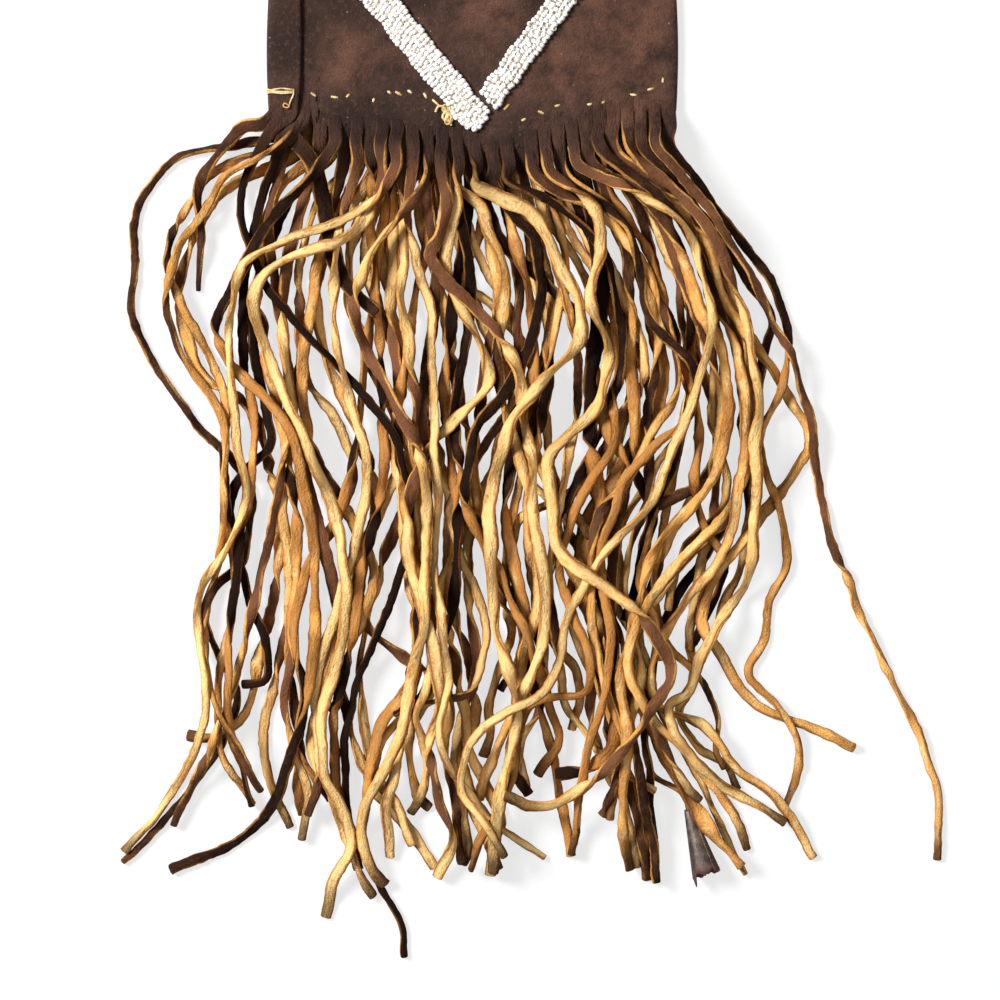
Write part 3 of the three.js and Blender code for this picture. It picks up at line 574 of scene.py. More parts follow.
# Routes are x, y pairs with y from the foot. Back and front thongs are listed from the left to the right.
# A thong shows one face below its root, in a tone of its own. Its wide, taper and turns stand for the draws,
# and a higher over lays it later.
backThongs = [
    {"shows": "grain", "tone": -0.15, "wide": 0.76, "turns": [0.03], "route": [
        -0.078, 0.008, -0.093, 0.005, -0.107, 0.002, -0.12, -0.002, -0.129, -0.012, -0.135, -0.023,
        -0.135, -0.043, -0.137, -0.06, -0.131, -0.077, -0.122, -0.092, -0.11, -0.108, -0.095, -0.124,
        -0.088, -0.136, -0.089, -0.146, -0.092, -0.162, -0.103, -0.173, -0.107, -0.186, -0.102, -0.2,
        -0.094, -0.218, -0.1, -0.234, -0.11, -0.25, -0.125, -0.268, -0.14, -0.283,
    ]},
    {"shows": "flesh", "tone": -0.3, "route": [
        -0.073, 0.005, -0.093, -0.001, -0.105, -0.009, -0.116, -0.023, -0.122, -0.041, -0.117, -0.059,
        -0.107, -0.077, -0.1, -0.094, -0.099, -0.114, -0.099, -0.138, -0.095, -0.166, -0.097, -0.188,
        -0.101, -0.207, -0.102, -0.226, -0.099, -0.242, -0.093, -0.252, -0.088, -0.26,
    ]},
    {"shows": "flesh", "tone": 0.05, "route": [
        -0.067, 0.003, -0.095, -0.011, -0.106, -0.021, -0.114, -0.038, -0.117, -0.056, -0.114, -0.075,
        -0.106, -0.09, -0.093, -0.098, -0.084, -0.114, -0.079, -0.134, -0.077, -0.154, -0.079, -0.174,
        -0.084, -0.194, -0.088, -0.214, -0.093, -0.226, -0.103, -0.233, -0.114, -0.232,
    ]},
    {"shows": "flesh", "tone": -0.2, "route": [
        -0.062, 0.002, -0.079, -0.016, -0.084, -0.034, -0.086, -0.054, -0.084, -0.074, -0.08, -0.094,
        -0.075, -0.114, -0.072, -0.134, -0.07, -0.154, -0.071, -0.178, -0.073, -0.198, -0.072, -0.218,
        -0.069, -0.234, -0.07, -0.254, -0.068, -0.264,
    ]},
    {"shows": "grain", "tone": -0.4, "turns": [0.03], "route": [
        -0.056, 0.001, -0.073, -0.018, -0.082, -0.038, -0.088, -0.058, -0.087, -0.082, -0.082, -0.104,
        -0.081, -0.117, -0.092, -0.127, -0.097, -0.139, -0.095, -0.156, -0.089, -0.178, -0.083, -0.194,
        -0.083, -0.21, -0.092, -0.212,
    ]},
    {"shows": "flesh", "tone": 0.2, "route": [
        -0.05, -0.002, -0.063, -0.022, -0.069, -0.042, -0.069, -0.066, -0.067, -0.088, -0.056, -0.104,
        -0.048, -0.124, -0.052, -0.142, -0.064, -0.162, -0.07, -0.182, -0.073, -0.202, -0.075, -0.222,
        -0.071, -0.238, -0.066, -0.258, -0.068, -0.274,
    ]},
    {"shows": "flesh", "tone": 0.2, "route": [
        -0.045, -0.004, -0.054, -0.024, -0.061, -0.046, -0.067, -0.07, -0.071, -0.094, -0.073, -0.118,
        -0.076, -0.142, -0.073, -0.166, -0.075, -0.19, -0.08, -0.214, -0.084, -0.234, -0.08, -0.254,
        -0.073, -0.269,
    ]},
    {"shows": "flesh", "tone": 0.2, "route": [
        -0.039, -0.004, -0.051, -0.024, -0.062, -0.043, -0.062, -0.066, -0.056, -0.088, -0.047, -0.108,
        -0.04, -0.13, -0.041, -0.154, -0.047, -0.178, -0.053, -0.198, -0.051, -0.22, -0.045, -0.242,
        -0.032, -0.258, -0.024, -0.276,
    ]},
    {"shows": "flesh", "tone": 0.2, "route": [
        -0.034, -0.004, -0.044, -0.022, -0.049, -0.04, -0.048, -0.062, -0.04, -0.084, -0.03, -0.106,
        -0.024, -0.124, -0.03, -0.146, -0.037, -0.166, -0.043, -0.188, -0.045, -0.21, -0.043, -0.23,
        -0.04, -0.253, -0.029, -0.265, -0.015, -0.285,
    ]},
    {"shows": "flesh", "tone": 0.2, "route": [
        -0.028, -0.004, -0.039, -0.022, -0.043, -0.042, -0.035, -0.066, -0.027, -0.086, -0.021, -0.106,
        -0.029, -0.126, -0.039, -0.146, -0.046, -0.166, -0.044, -0.184, -0.031, -0.199, -0.015, -0.21,
        -0.024, -0.227, -0.03, -0.242, -0.034, -0.26, -0.033, -0.281,
    ]},
    {"shows": "flesh", "tone": 0.2, "route": [
        -0.022, -0.007, -0.032, -0.024, -0.035, -0.044, -0.031, -0.066, -0.024, -0.09, -0.018, -0.11,
        -0.011, -0.126, -0.009, -0.146, -0.01, -0.166, -0.007, -0.186, -0.001, -0.204, 0.001, -0.222,
        -0.004, -0.24, -0.001, -0.258, 0.005, -0.272, 0.01, -0.286,
    ]},
    {"shows": "flesh", "tone": 0.2, "route": [
        -0.016, -0.009, -0.021, -0.024, -0.016, -0.043, -0.011, -0.062, -0.008, -0.082, -0.004, -0.102,
        0, -0.12, -0.001, -0.14, -0.008, -0.158, -0.013, -0.178, -0.008, -0.198, -0.004, -0.218, -0.001,
        -0.238, 0.006, -0.254, 0.011, -0.266, 0.007, -0.278,
    ]},
    {"shows": "flesh", "tone": 0.2, "route": [
        -0.008, -0.012, -0.007, -0.028, -0.002, -0.046, 0.002, -0.062, 0.011, -0.08, 0.016, -0.098,
        0.01, -0.118, 0.003, -0.138, -0.002, -0.162, -0.001, -0.182, 0.002, -0.202, -0.003, -0.222,
        -0.007, -0.242, -0.004, -0.262, -0.002, -0.276, -0.004, -0.284,
    ]},
    {"shows": "flesh", "tone": 0.0, "route": [
        -0.001, -0.012, -0.002, -0.026, 0.004, -0.044, 0.013, -0.058, 0.019, -0.076, 0.018, -0.094,
        0.009, -0.11, -0.001, -0.126, -0.009, -0.144, -0.004, -0.162, 0.003, -0.178, 0.005, -0.198,
        -0.001, -0.214, -0.013, -0.218, -0.027, -0.224, -0.037, -0.236, -0.039, -0.254,
    ]},
    {"shows": "flesh", "tone": 0.0, "route": [
        0.006, -0.013, 0.003, -0.031, -0.004, -0.051, 0.008, -0.06, 0.019, -0.074, 0.024, -0.092, 0.021,
        -0.106, 0.017, -0.118, 0.019, -0.126, 0.029, -0.136, 0.039, -0.142, 0.047, -0.152,
    ]},
    {"shows": "flesh", "tone": 0.1, "route": [
        0.016, -0.01, 0.021, -0.028, 0.025, -0.048, 0.03, -0.07, 0.027, -0.088, 0.03, -0.114, 0.034,
        -0.138, 0.032, -0.162, 0.027, -0.182, 0.029, -0.202, 0.027, -0.222, 0.019, -0.236, 0.021,
        -0.254,
    ]},
    {"shows": "flesh", "tone": 0.1, "route": [
        0.025, -0.008, 0.032, -0.027, 0.043, -0.045, 0.052, -0.066, 0.06, -0.082, 0.064, -0.098, 0.054,
        -0.116, 0.043, -0.13, 0.037, -0.144, 0.045, -0.162, 0.056, -0.178, 0.067, -0.198, 0.064, -0.218,
        0.06, -0.238, 0.067, -0.258, 0.069, -0.278, 0.07, -0.29,
    ]},
    {"shows": "flesh", "tone": 0.1, "route": [
        0.03, -0.007, 0.037, -0.026, 0.047, -0.044, 0.057, -0.064, 0.067, -0.082, 0.071, -0.098, 0.063,
        -0.116, 0.052, -0.138, 0.043, -0.158, 0.039, -0.178, 0.043, -0.198, 0.053, -0.218, 0.058,
        -0.236, 0.049, -0.245, 0.034, -0.248,
    ]},
    {"shows": "flesh", "tone": 0.1, "route": [
        0.036, -0.005, 0.041, -0.022, 0.049, -0.04, 0.058, -0.058, 0.064, -0.08, 0.062, -0.102, 0.056,
        -0.122, 0.054, -0.142, 0.059, -0.162, 0.056, -0.182, 0.051, -0.202, 0.047, -0.222, 0.051, -0.24,
        0.061, -0.26, 0.066, -0.285,
    ]},
    {"shows": "flesh", "tone": 0.1, "route": [
        0.042, -0.004, 0.048, -0.025, 0.056, -0.047, 0.067, -0.072, 0.068, -0.09, 0.058, -0.107, 0.049,
        -0.124, 0.04, -0.135, 0.029, -0.14, 0.019, -0.146, 0.016, -0.158, 0.012, -0.169,
    ]},
    {"shows": "flesh", "tone": -0.1, "over": 1, "wide": 1.5, "taper": 0.0, "turns": [], "route": [
        0.049, -0.003, 0.058, -0.028, 0.067, -0.046, 0.073, -0.07, 0.075, -0.094, 0.067, -0.114, 0.056,
        -0.13, 0.047, -0.146, 0.043, -0.164, 0.047, -0.184, 0.055, -0.202, 0.067, -0.22, 0.078, -0.242,
        0.0862, -0.258, 0.091, -0.2648, 0.0975, -0.273, 0.1033, -0.2798, 0.1072, -0.2848,
    ]},
    {"shows": "flesh", "tone": 0.1, "route": [
        0.055, -0.001, 0.07, -0.024, 0.08, -0.044, 0.084, -0.066, 0.087, -0.088, 0.083, -0.11, 0.073,
        -0.126, 0.063, -0.142, 0.057, -0.16, 0.055, -0.178, 0.061, -0.198, 0.073, -0.218, 0.083, -0.236,
        0.093, -0.254, 0.101, -0.272, 0.109, -0.288,
    ]},
    {"shows": "flesh", "tone": 0.0, "wide": 0.86, "taper": 0.42, "route": [
        0.061, 0, 0.077, -0.02, 0.081, -0.042, 0.087, -0.062, 0.091, -0.082, 0.097, -0.102, 0.096,
        -0.122, 0.087, -0.138, 0.078, -0.156, 0.071, -0.174, 0.067, -0.194, 0.073, -0.214, 0.069,
        -0.234, 0.072, -0.248, 0.081, -0.253, 0.085, -0.257, 0.086, -0.261,
        0.087, -0.2646,
    ]},
    {"shows": "flesh", "tone": -0.1, "route": [
        0.068, 0.002, 0.08, -0.016, 0.087, -0.027, 0.093, -0.043, 0.096, -0.062, 0.1, -0.082, 0.102,
        -0.1, 0.1, -0.12, 0.097, -0.138, 0.094, -0.154, 0.09, -0.172, 0.087, -0.194, 0.088, -0.21,
        0.083, -0.224, 0.091, -0.238, 0.102, -0.244, 0.106, -0.254,
    ]},
    {"shows": "grain", "tone": -0.3, "turns": [0.03], "route": [
        0.075, 0.002, 0.087, -0.018, 0.099, -0.032, 0.111, -0.051, 0.12, -0.066, 0.117, -0.078, 0.114,
        -0.098, 0.109, -0.118, 0.106, -0.136, 0.1, -0.15, 0.091, -0.164, 0.081, -0.178, 0.075, -0.192,
        0.071, -0.21, 0.069, -0.23, 0.071, -0.25, 0.072, -0.27, 0.074, -0.291,
    ]},
]

frontThongs = [
    {"shows": "grain", "tone": -0.6, "wide": 1.1, "taper": 0.62, "turns": [], "route": [
        -0.084, 0.012, -0.091, 0.011, -0.097, 0.006, -0.103, -0.001, -0.108, -0.008, -0.11, -0.015,
        -0.109, -0.028, -0.109, -0.041, -0.11, -0.054,
    ]},
    {"shows": "grain", "tone": -0.3, "over": -1, "wide": 0.76, "turns": [], "route": [
        -0.079, 0.011, -0.087, -0.002, -0.093, -0.018, -0.089, -0.037, -0.079, -0.057, -0.064, -0.074,
        -0.049, -0.09, -0.035, -0.106, -0.027, -0.126, -0.025, -0.15, -0.031, -0.174, -0.04, -0.196,
        -0.048, -0.218, -0.051, -0.242, -0.049, -0.266, -0.039, -0.289, -0.029, -0.307, -0.027, -0.321,
    ]},
    {"shows": "flesh", "tone": -0.35, "wide": 0.8, "route": [
        -0.073, 0.006, -0.087, -0.002, -0.098, -0.008, -0.108, -0.024, -0.118, -0.038, -0.122, -0.058,
        -0.119, -0.075, -0.108, -0.092, -0.1, -0.105, -0.099, -0.126, -0.1, -0.15, -0.103, -0.17,
        -0.107, -0.182, -0.107, -0.198, -0.103, -0.218, -0.095, -0.234, -0.089, -0.246, -0.084, -0.254,
    ]},
    {"shows": "grain", "tone": -0.5, "turns": [0.11, 0.27], "route": [
        -0.055, 0.004, -0.062, -0.006, -0.075, -0.02, -0.087, -0.036, -0.095, -0.052, -0.103, -0.068,
        -0.098, -0.082, -0.084, -0.096, -0.072, -0.112, -0.067, -0.135, -0.063, -0.16, -0.063, -0.188,
        -0.065, -0.214, -0.072, -0.238, -0.08, -0.26, -0.095, -0.275, -0.121, -0.286,
    ]},
    {"shows": "flesh", "tone": 0.3, "turns": [0.045], "route": [
        -0.046, -0.002, -0.051, -0.022, -0.055, -0.046, -0.055, -0.07, -0.05, -0.094, -0.043, -0.118,
        -0.043, -0.138, -0.048, -0.16, -0.055, -0.184, -0.062, -0.21, -0.062, -0.232, -0.056, -0.258,
        -0.048, -0.28, -0.04, -0.297,
    ]},
    {"shows": "flesh", "tone": 0.4, "turns": [0.042], "route": [
        -0.036, -0.006, -0.04, -0.023, -0.053, -0.035, -0.073, -0.041, -0.086, -0.052, -0.086, -0.069,
        -0.077, -0.091, -0.067, -0.114, -0.057, -0.138, -0.051, -0.164, -0.051, -0.186, -0.055, -0.206,
        -0.06, -0.224, -0.059, -0.246, -0.051, -0.264, -0.049, -0.278, -0.056, -0.292, -0.059, -0.305,
    ]},
    {"shows": "flesh", "tone": 0.5, "over": 1, "turns": [0.04], "route": [
        -0.03, -0.004, -0.036, -0.015, -0.051, -0.026, -0.073, -0.034, -0.091, -0.044, -0.096, -0.06,
        -0.097, -0.084, -0.094, -0.114, -0.091, -0.14, -0.099, -0.159, -0.109, -0.174, -0.109, -0.194,
        -0.106, -0.214, -0.11, -0.236, -0.123, -0.259, -0.139, -0.279,
    ]},
    {"shows": "flesh", "tone": 0.4, "turns": [0.05], "route": [
        -0.024, -0.007, -0.026, -0.024, -0.022, -0.043, -0.017, -0.062, -0.016, -0.086, -0.015, -0.114,
        -0.014, -0.142, -0.015, -0.168, -0.011, -0.194, -0.01, -0.212, -0.013, -0.232, -0.008, -0.247,
        0.003, -0.26, 0.013, -0.271, 0.021, -0.276, 0.029, -0.281,
    ]},
    {"shows": "flesh", "tone": 0.1, "over": 1, "wide": 1.15, "turns": [0.045, 0.085, 0.15], "route": [
        -0.018, -0.008, -0.022, -0.017, -0.033, -0.03, -0.043, -0.045, -0.047, -0.06, -0.043, -0.077,
        -0.033, -0.095, -0.023, -0.115, -0.018, -0.138, -0.019, -0.162, -0.019, -0.186, -0.024, -0.207,
        -0.027, -0.226, -0.034, -0.244, -0.042, -0.258, -0.044, -0.274, -0.04, -0.286, -0.035, -0.292,
    ]},
    {"shows": "flesh", "tone": 0.4, "turns": [0.1], "route": [
        -0.012, -0.009, -0.01, -0.019, -0.013, -0.032, -0.017, -0.04, -0.011, -0.049, -0.001, -0.06,
        0.009, -0.07, 0.017, -0.084, 0.021, -0.106, 0.024, -0.126, 0.024, -0.142, 0.027, -0.162, 0.029,
        -0.178, 0.028, -0.194, 0.023, -0.208, 0.019, -0.218, 0.016, -0.234, 0.013, -0.249, 0.01, -0.266,
        0.007, -0.288,
    ]},
    {"shows": "flesh", "tone": 0.25, "route": [
        -0.006, -0.01, -0.007, -0.024, -0.011, -0.045, -0.005, -0.06, 0.005, -0.08, 0.006, -0.092,
        -0.007, -0.106, -0.019, -0.121, -0.025, -0.138, -0.026, -0.158, -0.021, -0.178, -0.015, -0.199,
        -0.013, -0.218, -0.017, -0.238, -0.013, -0.258, -0.008, -0.274, -0.014, -0.289,
    ]},
    {"shows": "flesh", "tone": 0.2, "over": 1, "wide": 1.3, "turns": [0.02], "route": [
        0.001, -0.012, 0.01, -0.017, 0.023, -0.023, 0.033, -0.041, 0.042, -0.059, 0.043, -0.073, 0.032,
        -0.087, 0.018, -0.103, 0.011, -0.12, 0.007, -0.142, 0.008, -0.166, 0.01, -0.194, 0.017, -0.214,
        0.017, -0.232, 0.012, -0.252, 0.009, -0.27, 0.008, -0.287,
    ]},
    {"shows": "grain", "tone": -0.4, "turns": [0.16], "route": [
        0.008, -0.012, 0.017, -0.024, 0.025, -0.034, 0.027, -0.056, 0.023, -0.076, 0.013, -0.095, 0.002,
        -0.109, -0.001, -0.122, -0.003, -0.138, 0.005, -0.156, 0.011, -0.168, 0.021, -0.19, 0.029,
        -0.214, 0.034, -0.234, 0.026, -0.248,
    ]},
    {"shows": "grain", "tone": -0.3, "turns": [0.13], "route": [
        0.014, -0.01, 0.023, -0.015, 0.036, -0.022, 0.05, -0.035, 0.056, -0.053, 0.06, -0.076, 0.057,
        -0.098, 0.055, -0.118, 0.045, -0.134, 0.038, -0.15, 0.035, -0.168, 0.041, -0.186, 0.047, -0.202,
        0.045, -0.214, 0.031, -0.217, 0.023, -0.22, 0.018, -0.234, 0.016, -0.25, 0.01, -0.263, 0.003,
        -0.274, -0.001, -0.286,
    ]},
    {"shows": "flesh", "tone": 0.0, "route": [
        0.025, -0.008, 0.056, -0.028, 0.069, -0.046, 0.078, -0.068, 0.082, -0.092, 0.073, -0.109, 0.064,
        -0.126, 0.051, -0.144, 0.047, -0.164, 0.048, -0.186, 0.05, -0.204, 0.055, -0.218, 0.06, -0.236,
        0.056, -0.254, 0.052, -0.264,
    ]},
    {"shows": "grain", "tone": -0.1, "over": 2, "wide": 1.2, "turns": [0.034, 0.235, 0.31], "route": [
        0.031, -0.007, 0.049, -0.022, 0.051, -0.038, 0.047, -0.058, 0.054, -0.078, 0.051, -0.098, 0.037,
        -0.114, 0.03, -0.122, 0.032, -0.138, 0.033, -0.154, 0.04, -0.164, 0.055, -0.174, 0.071, -0.189,
        0.079, -0.207, 0.071, -0.222, 0.057, -0.241, 0.039, -0.256, 0.023, -0.26, 0.013, -0.256,
    ]},
    {"shows": "grain", "tone": -0.4, "turns": [0.15], "route": [
        0.036, -0.006, 0.061, -0.028, 0.067, -0.048, 0.071, -0.066, 0.089, -0.088, 0.087, -0.103, 0.071,
        -0.118, 0.061, -0.13, 0.055, -0.146, 0.051, -0.16, 0.053, -0.178, 0.055, -0.194, 0.053, -0.214,
        0.047, -0.234, 0.043, -0.254, 0.04, -0.28,
    ]},
    {"shows": "flesh", "tone": 0.35, "over": 1, "turns": [0.045], "route": [
        0.042, -0.004, 0.066, -0.016, 0.083, -0.028, 0.092, -0.048, 0.095, -0.068, 0.09, -0.092, 0.081,
        -0.114, 0.073, -0.136, 0.059, -0.152, 0.047, -0.168, 0.038, -0.184, 0.035, -0.202, 0.027,
        -0.215, 0.013, -0.223, -0.001, -0.235, -0.004, -0.254, 0.003, -0.264, 0.013, -0.28,
    ]},
    {"shows": "flesh", "tone": 0.0, "turns": [0.075], "route": [
        0.047, -0.003, 0.072, -0.02, 0.083, -0.04, 0.091, -0.062, 0.099, -0.078, 0.102, -0.094, 0.101,
        -0.11, 0.098, -0.124, 0.09, -0.138, 0.078, -0.15, 0.071, -0.162, 0.067, -0.178, 0.062, -0.194,
        0.059, -0.214, 0.062, -0.234, 0.06, -0.254, 0.06, -0.27, 0.063, -0.286,
    ]},
    {"shows": "flesh", "tone": -0.05, "turns": [0.11], "route": [
        0.053, -0.001, 0.076, -0.018, 0.087, -0.034, 0.097, -0.058, 0.105, -0.078, 0.109, -0.098, 0.108,
        -0.118, 0.106, -0.134, 0.102, -0.154, 0.089, -0.174, 0.077, -0.191, 0.071, -0.206, 0.075, -0.22,
        0.093, -0.229, 0.105, -0.244, 0.121, -0.257, 0.129, -0.268, 0.137, -0.281,
    ]},
    {"shows": "flesh", "tone": 0.0, "turns": [0.055], "route": [
        0.058, 0, 0.078, -0.016, 0.091, -0.031, 0.1, -0.048, 0.108, -0.068, 0.111, -0.09, 0.111, -0.11,
        0.106, -0.136, 0.091, -0.154, 0.075, -0.172, 0.065, -0.188, 0.063, -0.21, 0.073, -0.226, 0.083,
        -0.236, 0.091, -0.246, 0.105, -0.264, 0.11, -0.278,
    ]},
    {"shows": "flesh", "tone": -0.1, "turns": [0.1], "route": [
        0.063, 0.001, 0.081, -0.015, 0.094, -0.03, 0.105, -0.054, 0.111, -0.076, 0.114, -0.098, 0.113,
        -0.118, 0.113, -0.142, 0.111, -0.162, 0.108, -0.174, 0.098, -0.188, 0.091, -0.202, 0.087,
        -0.214, 0.078, -0.22, 0.087, -0.24, 0.099, -0.251, 0.117, -0.262, 0.125, -0.267,
    ]},
    {"shows": "flesh", "tone": 0.05, "turns": [0.065], "route": [
        0.068, 0.002, 0.084, -0.014, 0.093, -0.034, 0.1, -0.057, 0.114, -0.078, 0.127, -0.097, 0.135,
        -0.114, 0.131, -0.124, 0.117, -0.143, 0.105, -0.158, 0.094, -0.174, 0.092, -0.188, 0.098,
        -0.198, 0.108, -0.214, 0.115, -0.221, 0.135, -0.229, 0.153, -0.237,
    ]},
    {"shows": "flesh", "tone": -0.3, "turns": [0.215], "route": [
        0.073, 0.003, 0.087, -0.013, 0.1, -0.031, 0.113, -0.052, 0.121, -0.068, 0.129, -0.085, 0.135,
        -0.106, 0.138, -0.128, 0.142, -0.148, 0.15, -0.17, 0.162, -0.198, 0.173, -0.22, 0.183, -0.243,
        0.187, -0.264, 0.186, -0.282,
    ]},
    {"shows": "flesh", "tone": -0.1, "turns": [0.12], "route": [
        0.078, 0.005, 0.088, -0.009, 0.1, -0.024, 0.111, -0.039, 0.121, -0.053, 0.126, -0.07, 0.124,
        -0.092, 0.115, -0.114, 0.118, -0.128, 0.125, -0.15, 0.126, -0.162, 0.119, -0.178, 0.117, -0.194,
        0.11, -0.208, 0.123, -0.221, 0.131, -0.24, 0.125, -0.262,
    ]},
]

